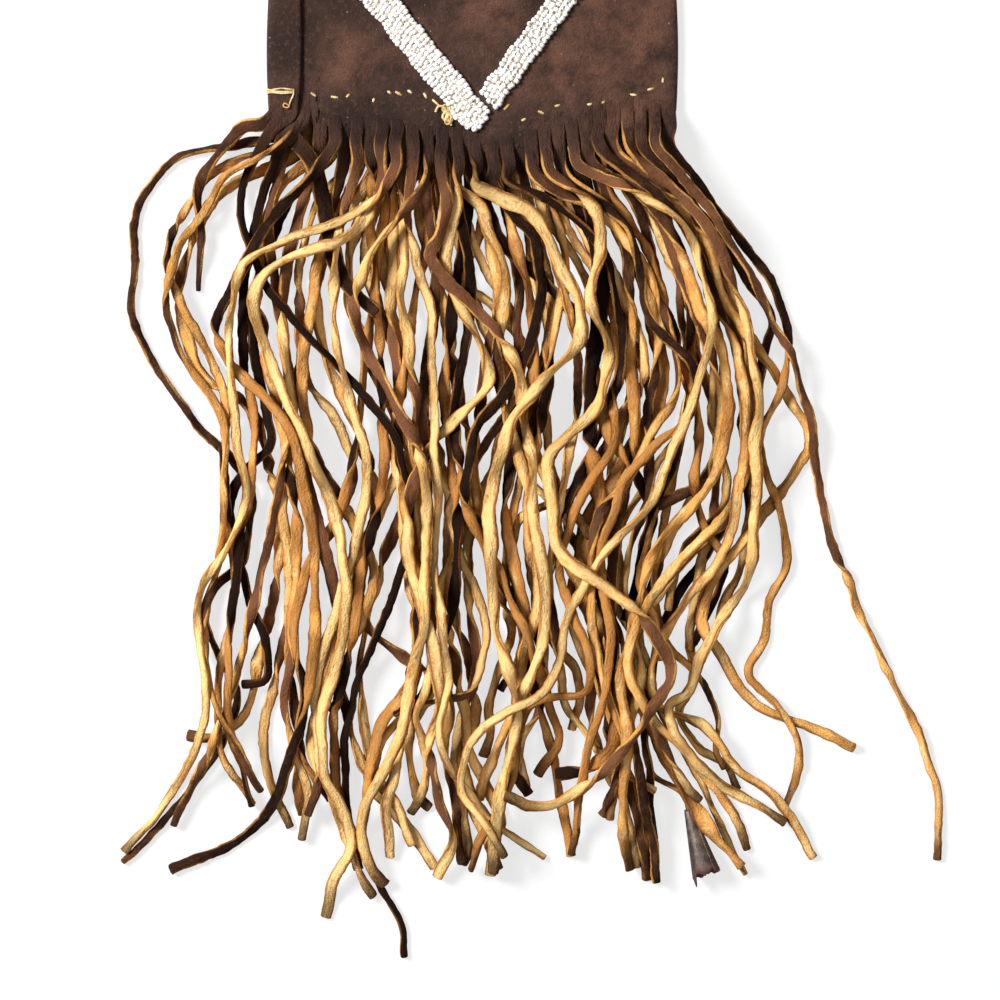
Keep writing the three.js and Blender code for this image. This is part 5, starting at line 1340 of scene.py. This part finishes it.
# Pouch: one hide, folded at the right, lapped over itself at the left, open at the mouth
pouch = {
    "hide": 0.002,
    "height": 0.010,
    "pressed": 0.0046,        # height of both layers sewn together
    "crease": -0.068,         # edge of the lap
    "crownReach": (0.0685, 0.078),    # from the middle to each side of the filled part, left and right
    "crownPower": 2.6,
    "fullBetween": (0.026, 0.105),    # the pouch fills out between these heights above the foot
    "slack": 0.18,
    "foldDepth": 0.00045,
    "buckleDepth": 0.00022,
    "stitchReach": 0.0026,
    "stitchDip": 0.00045,
    "sideOut": 0.0016,        # how far each turned side stands out
    "frontThin": (0.0007, 0.0065),    # the hide thins by this much over this height at the cuts
    "lapThin": (0.0008, 0.006),
    "lapPress": 0.0004,
    "rows": 120,
    "rowPower": 1.7,          # rows lie closer together at the foot
    "frontColumns": 130,
    "backColumns": 60,
    "underColumns": 7,
    "lapColumns": 9,
    "foldSteps": 7,
}

# Stitches of the lower seam: x, y from the foot, length and heading in degrees
stitches = [
    (-0.0637, 0.0243, 0.0026, -33), (-0.0552, 0.0232, 0.0031, -8), (-0.0498, 0.0238, 0.0017, 45),
    (-0.0396, 0.0220, 0.0015, 70), (-0.0333, 0.0251, 0.0016, -40), (-0.0296, 0.0247, 0.0032, -30),
    (-0.0251, 0.0254, 0.0021, -35), (-0.0189, 0.0238, 0.0025, -60), (0.0136, 0.0192, 0.0032, 45),
    (0.0205, 0.0142, 0.0019, 25), (0.0274, 0.0171, 0.0026, -25), (0.0340, 0.0198, 0.0023, 15),
    (0.0468, 0.0203, 0.0020, 12), (0.0523, 0.0211, 0.0017, 25), (0.0644, 0.0241, 0.0030, -6),
    (0.0713, 0.0264, 0.0028, 12), (0.0762, 0.0300, 0.0020, 86),
]


# Top of the front layer, in metres above the floor
def frontTop(x, y):
    x = np.asarray(x, float)
    y = np.asarray(y, float)
    leftReach, rightReach = pouch["crownReach"]
    across = np.where(x > 0, x / rightReach, -x / leftReach)
    crown = np.clip(1 - np.abs(across) ** pouch["crownPower"], 0, 1)
    low, high = pouch["fullBetween"]
    full = eased(y, foot + low, foot + high)
    slack = 1 - pouch["slack"] + pouch["slack"] * np.cos(14 * (y - 0.02) + 9 * x)
    top = pouch["pressed"] + (pouch["height"] - pouch["pressed"]) * crown * full * slack
    # soft folds down the length, and small buckles
    top = top + pouch["foldDepth"] * full * crown * np.sin(72 * x + 6 * np.sin(11 * y))
    top = top + pouch["buckleDepth"] * np.sin(150 * x + 60 * y) * np.cos(95 * y - 40 * x)
    for stitchX, stitchY, _, _ in stitches:
        away = ((x - stitchX) ** 2 + (y - foot - stitchY) ** 2) / pouch["stitchReach"] ** 2
        top = top - pouch["stitchDip"] * np.exp(-away)
    return top


# Points across the hide at one row, from its edge under the lap round to the edge of the lap
def hideRow(share):
    thin = pouch["hide"] / 2
    inset = halfWidth - sideInset
    drawnIn = 0.0008 * math.sin(9 * share + 1) + 0.0006 * math.sin(23 * share)
    points = []

    def rowY(x):
        return edgeY(x) + share * (mouth - edgeY(x))

    def frontRowY(x):
        low = edgeY(x) + slitRise(x, slitPlaces)
        return low + share * (mouth - low)

    def thinned(x, y, amount, reach):
        return amount * float(1 - eased(y - edgeY(x), 0.0, reach))

    # a side turned over between the back and topZ: way is 1 at the fold and -1 at the lap
    def turnedSide(way, topZ):
        rise = (topZ - thin) / 2
        for k in range(1, pouch["foldSteps"]):
            turn = math.pi * k / pouch["foldSteps"]
            x = way * (inset + pouch["sideOut"] * math.sin(turn) + drawnIn * math.sin(turn))
            points.append((x, rowY(x), thin + rise + way * rise * math.cos(turn)))

    for x in np.linspace(-halfWidth + 0.003, pouch["crease"], pouch["underColumns"]):
        points.append((x, rowY(x), pouch["pressed"] - thin - 0.0002))
    even = np.linspace(pouch["crease"] + 0.0015, inset, pouch["frontColumns"])
    slitHalf = fringe["slit"] / 2
    cuts = np.concatenate([slitPlaces - slitHalf, slitPlaces, slitPlaces + slitHalf])
    for x in np.sort(np.concatenate([even, cuts[(cuts > even[0]) & (cuts < inset)]])):
        y = frontRowY(x)
        points.append((x, y, float(frontTop(x, y)) - thin - thinned(x, y, *pouch["frontThin"])))
    turnedSide(1, points[-1][2])
    for x in np.linspace(inset, -inset, pouch["backColumns"]):
        points.append((x, rowY(x), thin))
    lapZ = pouch["pressed"] + thin - pouch["lapPress"]
    turnedSide(-1, lapZ)
    wander = 0.0009 * math.sin(11 * share + 0.6) + 0.0005 * math.sin(31 * share)
    lapEdge = pouch["crease"] - 0.0028 * (1 - share) ** 6 + wander
    for x in np.linspace(-inset, lapEdge, pouch["lapColumns"]):
        y = rowY(x)
        buckle = 0.0003 * math.sin(60 * share + 90 * x)
        points.append((x, y, lapZ + buckle - thinned(x, y, *pouch["lapThin"])))
    return points


frontRoots = np.array(rootPlaces(frontThongs))
slitPlaces = (frontRoots[1:] + frontRoots[:-1]) / 2


def makePouch():
    rows = [hideRow(share) for share in np.linspace(0, 1, pouch["rows"]) ** pouch["rowPower"]]
    points = [point for row in rows for point in row]
    mesh = bpy.data.meshes.new("pouch")
    mesh.from_pydata(points, [], gridFaces(len(rows), len(rows[0])))
    return thickened(addObject("pouch", mesh, hideMaterial), pouch["hide"])


pouchPiece = makePouch()
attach(pouchPiece, "root")
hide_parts("hide_pouch")
print("pouch made:", len(pouchPiece.data.polygons), "faces")


# Threads: chains of points swept as round thread by a node tree
def newTree(name, sockets):
    tree = bpy.data.node_groups.new(name, "GeometryNodeTree")
    tree.interface.new_socket("Geometry", in_out="OUTPUT", socket_type="NodeSocketGeometry")
    tree.interface.new_socket("Geometry", in_out="INPUT", socket_type="NodeSocketGeometry")
    for label, kind in sockets:
        tree.interface.new_socket(label, in_out="INPUT", socket_type="NodeSocket" + kind)
    return tree, putNode(tree, "NodeGroupInput"), putNode(tree, "NodeGroupOutput")


threadSides = 7


def threadTree():
    sockets = [("Thread Radius", "Float"), ("Points", "Int"), ("Finish", "Material")]
    tree, given, out = newTree("threads", sockets)
    chain = putNode(tree, "GeometryNodeMeshToCurve", None, {0: given.outputs["Geometry"]})
    settings = {"spline_type": "CATMULL_ROM"}
    kind = putNode(tree, "GeometryNodeCurveSplineType", settings, {0: chain.outputs[0]})
    inputs = {"Curve": kind.outputs[0], "Count": given.outputs["Points"]}
    even = putNode(tree, "GeometryNodeResampleCurve", {"mode": "COUNT"}, inputs)
    inputs = {"Resolution": threadSides, "Radius": given.outputs["Thread Radius"]}
    ring = putNode(tree, "GeometryNodeCurvePrimitiveCircle", {"mode": "RADIUS"}, inputs)
    inputs = {"Curve": even.outputs[0], "Profile Curve": ring.outputs[0], "Fill Caps": True}
    tube = putNode(tree, "GeometryNodeCurveToMesh", None, inputs)
    solid = putNode(tree, "GeometryNodeRealizeInstances", None, {0: tube.outputs[0]})
    inputs = {"Geometry": solid.outputs[0], "Material": given.outputs["Finish"]}
    done = putNode(tree, "GeometryNodeSetMaterial", None, inputs)
    tree.links.new(done.outputs[0], out.inputs[0])
    return tree


def runTree(piece, tree, values):
    nodes = piece.modifiers.new(tree.name, "NODES")
    nodes.node_group = tree
    for item in tree.interface.items_tree:
        if item.in_out == "INPUT" and item.name in values:
            nodes[item.identifier] = values[item.name]
    return settled(piece)


def chainMesh(name, chains):
    points = []
    edges = []
    for chain in chains:
        start = len(points)
        points += [tuple(float(v) for v in point) for point in chain]
        edges += [(start + i, start + i + 1) for i in range(len(chain) - 1)]
    mesh = bpy.data.meshes.new(name)
    mesh.from_pydata(points, edges, [])
    return mesh


threads = threadTree()


def threadPiece(name, chains, radius, points, replaced=None, finish=sinewMaterial):
    piece = addObject(name, chainMesh(name, chains))
    runTree(piece, threads, {"Thread Radius": radius, "Points": points, "Finish": finish})
    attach(piece, "root")
    if replaced:
        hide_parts(replaced)
    return piece


# Points given as x, y from the foot and lift, at a height
def fromFoot(points, base):
    return [(x, foot + y, base + lift) for x, y, lift in points]


# Lower seam: short stitches on the front, with two plies each
lowerSeam = {
    "radius": 0.00036,
    "points": 10,
    "ply": 0.00022,           # from the middle of a stitch to each of its plies
    "rise": 0.00045,
    "sink": 0.0002,
    "half": 0.4,              # share of a stitch's length to each side of its middle
    "shares": (-1.05, -0.8, -0.3, 0.3, 0.8, 1.05),
}


def stitchChains():
    chains = []
    for x, y, length, heading in stitches:
        angle = math.radians(heading)
        run = np.array([math.cos(angle), math.sin(angle)]) * length * lowerSeam["half"]
        aside = np.array([-run[1], run[0]]) / np.linalg.norm(run)
        for way in (-1, 1):
            chain = []
            for share in lowerSeam["shares"]:
                bow = aside * way * lowerSeam["ply"] * math.cos(2.4 * share)
                px, py = np.array([x, foot + y]) + run * share + bow
                z = float(frontTop(px, py)) + lowerSeam["rise"] * (1 - share ** 4) - lowerSeam["sink"]
                chain.append((px, py, z))
            chains.append(chain)
    return chains


seamSize = lowerSeam["radius"], lowerSeam["points"]
threadPiece("lower_seam_stitches", stitchChains(), *seamSize, "bottom_seam_thread")

# Corner lashing: pale strands round the edge of the lap, then down to a small loop
lashing = {
    "radius": 0.00034,
    "points": 26,
    "y": foot + 0.0256,
    "left": -0.0815,
    "middle": -0.0765,
    "right": -0.0712,
    "strands": (-0.0009, -0.0003, 0.0006),
    "bend": 0.0003,
    "loop": [                 # x, y from the foot and lift
        (-0.0715, 0.0262, 0.0), (-0.0716, 0.0240, 0.0002), (-0.0728, 0.0213, 0.0),
        (-0.0733, 0.0198, 0.0002), (-0.0750, 0.0206, 0.0004), (-0.0756, 0.0194, 0.0002),
        (-0.0738, 0.0188, 0.0004), (-0.0730, 0.0202, 0.0),
    ],
}


def lashingChains():
    top = pouch["pressed"] + pouch["hide"] + 0.0001
    left, right = lashing["left"], lashing["right"]
    chains = []
    for k, aside in enumerate(lashing["strands"]):
        y = lashing["y"] + aside
        bend = lashing["bend"] * math.sin(2.1 * k + 0.7)
        chains.append([
            (left + 0.004, y, 0.0006), (left - 0.0002, y, 0.0018), (left - 0.0004, y, top - 0.0020),
            (left + 0.0012, y + bend, top + 0.0001), (lashing["middle"], y - bend, top + 0.0004),
            (right - 0.001, y + 0.4 * bend, top + 0.0003), (right, y + 0.0002, top - 0.0012),
        ])
    chains.append(fromFoot(lashing["loop"], top))
    return chains


threadPiece("corner_strands", lashingChains(), lashing["radius"], lashing["points"], "corner_lashing")

# Bead thread tied off beside the tip: a small tangle and a forked loose end
knot = {
    "radius": 0.00048,
    "points": 34,
    "middle": (-0.0096, foot + 0.0160),
    "spread": (0.0014, 0.0026),
    "loops": 8,
    "loopSize": (0.0011, 0.0014),
    "loopTurns": 1.2,
    "loopLift": 0.0005,
    "seed": 5,
    "ends": [                 # x, y from the foot and lift, along each loose end
        [(-0.0103, 0.0178, 0.0008), (-0.0120, 0.0194, 0.0010), (-0.0132, 0.0196, 0.0006),
         (-0.0143, 0.0206, 0.0007), (-0.0160, 0.0221, 0.0004)],
        [(-0.0132, 0.0196, 0.0006), (-0.0140, 0.0190, 0.0004), (-0.0148, 0.0172, 0.0002)],
        [(-0.0100, 0.0150, 0.0005), (-0.0090, 0.0130, 0.0008), (-0.0084, 0.0118, 0.0006)],
    ],
}


def knotChains():
    base = pouch["pressed"] + 0.0003
    wide, tall = knot["loopSize"]
    lift = knot["loopLift"]
    chains = []
    rng = np.random.default_rng(knot["seed"])
    for k in range(knot["loops"]):
        x, y = np.array(knot["middle"]) + rng.uniform(-1, 1, 2) * knot["spread"]
        turns = np.linspace(0, 2 * math.pi * knot["loopTurns"], 9) + 1.3 * k
        chains.append([
            (x + wide * math.cos(t), y + tall * math.sin(t), base + lift + lift * math.sin(2 * t + k))
            for t in turns
        ])
    return chains + [fromFoot(end, base) for end in knot["ends"]]


threadPiece("tied_thread", knotChains(), knot["radius"], knot["points"], "bead_thread_knot")
sideSeam = bpy.data.objects["side_seam_thread"].data
sideSeam.materials.clear()
sideSeam.materials.append(sinewMaterial)
print("threads made")


# Bead bands: strands of seed beads laid side by side, set by a node tree
beads = {
    "size": 0.00235,
    "length": 0.0018,
    "pitch": 0.00196,
    "tilt": 0.35,
    "holeUp": 0.2,            # share of the beads that lie with the hole up
    "holeUpTurn": (1.25, 0.2, 0.0),
    "sizeSpread": 0.1,
    "jitter": 0.00032,
    "ringShare": 0.335,       # of a bead's size, to the middle of its wall
    "wallShare": 0.165,
    "ringSides": 11,
    "wallSides": 7,
    "strandPitch": 0.00204,
    "strandStep": 0.0012,
    "sharedSway": (0.016, 0.0004),    # waves of all strands together and of each: length and amount
    "ownSway": (0.011, 0.00014),
    "ownRise": (0.009, 0.00016),
    "rise": 0.42,             # of a bead's size, from the hide to its hole
    "skew": (0.0, 0.5, 0.1, 0.6, 0.2, 0.75),    # start of each strand, in beads
    "threadRadius": 0.0006,
    "threadPoints": 90,
    "threadDrop": 0.0003,
}
leftArm = {"end": (0.0058, 0.0090), "heading": (-0.63, 0.777), "stopX": -0.0655, "seed": 11,
           "trims": (0.0066, 0.0034, 0.0034, 0.0032, 0.0040, 0.0046)}
rightArm = {"end": (0.0044, 0.0196), "heading": (0.597, 0.803), "stopX": 0.0765, "seed": 12,
            "trims": (0.0040, 0.0034, 0.0028, 0.0022, 0.0017)}


def beadTree():
    sockets = [("Bead Size", "Float"), ("Bead Length", "Float"), ("Pitch", "Float"), ("Tilt", "Float"),
               ("Hole Up Share", "Float"), ("Size Spread", "Float"), ("Jitter", "Float"), ("Seed", "Int"),
               ("Finish", "Material")]
    tree, given, out = newTree("beadStrands", sockets)

    def value(label):
        return Wire(tree, given.outputs[label])

    chain = putNode(tree, "GeometryNodeMeshToCurve", None, {0: given.outputs["Geometry"]})
    inputs = {"Curve": chain.outputs[0], "Length": given.outputs["Pitch"]}
    even = putNode(tree, "GeometryNodeResampleCurve", {"mode": "LENGTH"}, inputs)

    reach = value("Jitter")
    back = reach * -1
    least = putNode(tree, "ShaderNodeCombineXYZ", None, {0: back, 1: back, 2: back})
    most = putNode(tree, "ShaderNodeCombineXYZ", None, {0: reach, 1: reach, 2: reach})
    inputs = {"Min": least.outputs[0], "Max": most.outputs[0], "Seed": value("Seed") + 40}
    shift = putNode(tree, "FunctionNodeRandomValue", {"data_type": "FLOAT_VECTOR"}, inputs)
    inputs = {"Geometry": even.outputs[0], "Offset": shift.outputs[0]}
    strung = putNode(tree, "GeometryNodeSetPosition", None, inputs)

    # one bead: a thick ring, longer along its hole than a plain ring is
    ringRadius = value("Bead Size") * beads["ringShare"]
    wall = value("Bead Size") * beads["wallShare"]
    inputs = {"Resolution": beads["ringSides"], "Radius": ringRadius}
    ring = putNode(tree, "GeometryNodeCurvePrimitiveCircle", {"mode": "RADIUS"}, inputs)
    inputs = {"Resolution": beads["wallSides"], "Radius": wall}
    profile = putNode(tree, "GeometryNodeCurvePrimitiveCircle", {"mode": "RADIUS"}, inputs)
    inputs = {"Curve": ring.outputs[0], "Profile Curve": profile.outputs[0]}
    body = putNode(tree, "GeometryNodeCurveToMesh", None, inputs)
    stretch = value("Bead Length") / (wall * 2)
    scale = putNode(tree, "ShaderNodeCombineXYZ", None, {0: 1.0, 1: 1.0, 2: stretch})
    bead = putNode(tree, "GeometryNodeTransform", None, {0: body.outputs[0], "Scale": scale.outputs[0]})

    tangent = putNode(tree, "GeometryNodeInputTangent")
    inputs = {"Vector": tangent.outputs[0]}
    lined = putNode(tree, "FunctionNodeAlignRotationToVector", {"axis": "Z"}, inputs)
    # each bead leans a little, turns about its hole by any amount, and now and then lies with the hole up
    tilt = value("Tilt")
    low = putNode(tree, "ShaderNodeCombineXYZ", None, {0: tilt * -1, 1: tilt * -1, 2: -3.0})
    high = putNode(tree, "ShaderNodeCombineXYZ", None, {0: tilt, 1: tilt, 2: 3.0})
    inputs = {"Min": low.outputs[0], "Max": high.outputs[0], "Seed": given.outputs["Seed"]}
    lean = putNode(tree, "FunctionNodeRandomValue", {"data_type": "FLOAT_VECTOR"}, inputs)
    inputs = {"Probability": given.outputs["Hole Up Share"], "Seed": given.outputs["Seed"]}
    tipped = putNode(tree, "FunctionNodeRandomValue", {"data_type": "BOOLEAN"}, inputs)
    inputs = {"Switch": tipped.outputs[3], "False": lean.outputs[0], "True": beads["holeUpTurn"]}
    turn = putNode(tree, "GeometryNodeSwitch", {"input_type": "VECTOR"}, inputs)
    euler = putNode(tree, "FunctionNodeEulerToRotation", None, {0: turn.outputs[0]})
    inputs = {0: lined.outputs[0], 1: euler.outputs[0]}
    facing = putNode(tree, "FunctionNodeRotateRotation", {"rotation_space": "LOCAL"}, inputs)
    spread = value("Size Spread")
    inputs = {2: 1 - spread, 3: 1 + spread, "Seed": given.outputs["Seed"]}
    grown = putNode(tree, "FunctionNodeRandomValue", {"data_type": "FLOAT"}, inputs)
    inputs = {"Points": strung.outputs[0], "Instance": bead.outputs[0], "Rotation": facing.outputs[0],
              "Scale": grown.outputs[1]}
    placed = putNode(tree, "GeometryNodeInstanceOnPoints", None, inputs)
    solid = putNode(tree, "GeometryNodeRealizeInstances", None, {0: placed.outputs[0]})
    inputs = {"Geometry": solid.outputs[0], "Material": given.outputs["Finish"]}
    done = putNode(tree, "GeometryNodeSetMaterial", None, inputs)
    tree.links.new(done.outputs[0], out.inputs[0])
    return tree


def strandChains(arm):
    rng = np.random.default_rng(arm["seed"])
    ahead = np.array(arm["heading"]) / np.linalg.norm(arm["heading"])
    aside = np.array([ahead[1], -ahead[0]])
    start = np.array(arm["end"]) + (0, foot)
    count = len(arm["trims"])
    together = np.arange(0, 0.5, beads["strandStep"])
    shared = wave(rng, together, *beads["sharedSway"])
    chains = []
    for k, trim in enumerate(arm["trims"]):
        offset = (k - (count - 1) / 2) * beads["strandPitch"]
        skew = beads["skew"][k] * beads["pitch"]
        first = start + aside * offset + ahead * (trim + skew + rng.uniform(0, 0.0003))
        reach = (arm["stopX"] - first[0]) / ahead[0]
        runs = np.arange(0, reach, beads["strandStep"])
        sway = wave(rng, runs, *beads["ownSway"]) + np.interp(runs + trim, together, shared)
        plan = first + ahead * runs[:, None] + aside * sway[:, None]
        rise = beads["size"] * beads["rise"] + wave(rng, runs, *beads["ownRise"])
        chains.append(np.column_stack([plan, frontTop(plan[:, 0], plan[:, 1]) + rise]))
    return chains


beadNodes = beadTree()


def beadBand(name, arm, replaced):
    chains = strandChains(arm)
    piece = addObject(name, chainMesh(name, chains))
    runTree(piece, beadNodes, {
        "Bead Size": beads["size"], "Bead Length": beads["length"], "Pitch": beads["pitch"],
        "Tilt": beads["tilt"], "Hole Up Share": beads["holeUp"], "Size Spread": beads["sizeSpread"],
        "Jitter": beads["jitter"], "Seed": arm["seed"], "Finish": beadMaterial,
    })
    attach(piece, "root")
    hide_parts(replaced)
    # threads that cross under the beads show between the rows
    under = []
    for one, other in zip(chains, chains[1:]):
        size = min(len(one), len(other))
        under.append((one[:size] + other[:size]) / 2 - (0, 0, beads["threadDrop"]))
    threadSize = beads["threadRadius"], beads["threadPoints"]
    threadPiece(name + "_thread", chains + under, *threadSize, None, beadThread)
    print(name, len(piece.data.polygons), "faces")


beadBand("left_beads", leftArm, "bead_band_left")
beadBand("right_beads", rightArm, "bead_band_right")


def makeCone():
    rng = np.random.default_rng(cone["seed"])
    tip = np.array(cone["tip"])
    rise = cone["rimRadius"] + cone["clear"] - tip[2]
    run = math.sqrt(cone["length"] ** 2 - rise ** 2)
    axis = np.array([coneHeading[0] * run, coneHeading[1] * run, rise]) / cone["length"]
    aside = np.cross(axis, (0, 0, 1))
    aside /= np.linalg.norm(aside)
    over = np.cross(aside, axis)
    angles = np.linspace(0, 2 * math.pi + cone["lap"], cone["around"])
    ragged = 1 + wave(rng, angles, *cone["coarseRim"]) + wave(rng, angles, *cone["fineRim"])
    torn = cone["torn"]
    ragged += torn["by"] * np.exp(-((angles - torn["at"]) / torn["reach"]) ** 2)
    points = []
    shares = []
    for share in np.linspace(0, 1, cone["rows"]):
        for k, angle in enumerate(angles):
            bent = cone["dent"] * share * math.sin(2 * angle + 0.6)
            radius = coneRadius(share) * (1 - cone["windsIn"] * k / cone["around"] + bent)
            along = cone["length"] * share * (1 + (ragged[k] - 1) * share ** 4)
            turned = angle + cone["seamAt"]
            place = tip + axis * along + radius * (aside * math.cos(turned) + over * math.sin(turned))
            points.append(tuple(place))
            shares.append(share)
    mesh = bpy.data.meshes.new("rolled_cone")
    mesh.from_pydata(points, [], gridFaces(cone["rows"], cone["around"]))
    values = np.zeros((len(points), 3))
    values[:, 0] = shares
    mesh.attributes.new("strip", "FLOAT_VECTOR", "POINT").data.foreach_set("vector", values.ravel())
    return thickened(addObject("rolled_cone", mesh, tinMaterial), cone["wall"])


conePiece = makeCone()
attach(conePiece, "root")
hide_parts("tin_cone")
print("cone made")


# What the loose pieces are: thongs are free cords, the pouch is a folded sheet with the rest of its fringe
for piece, line, layer, number in laidThongs:
    if not any(piece is entry[0] for entry in declared):
        continue
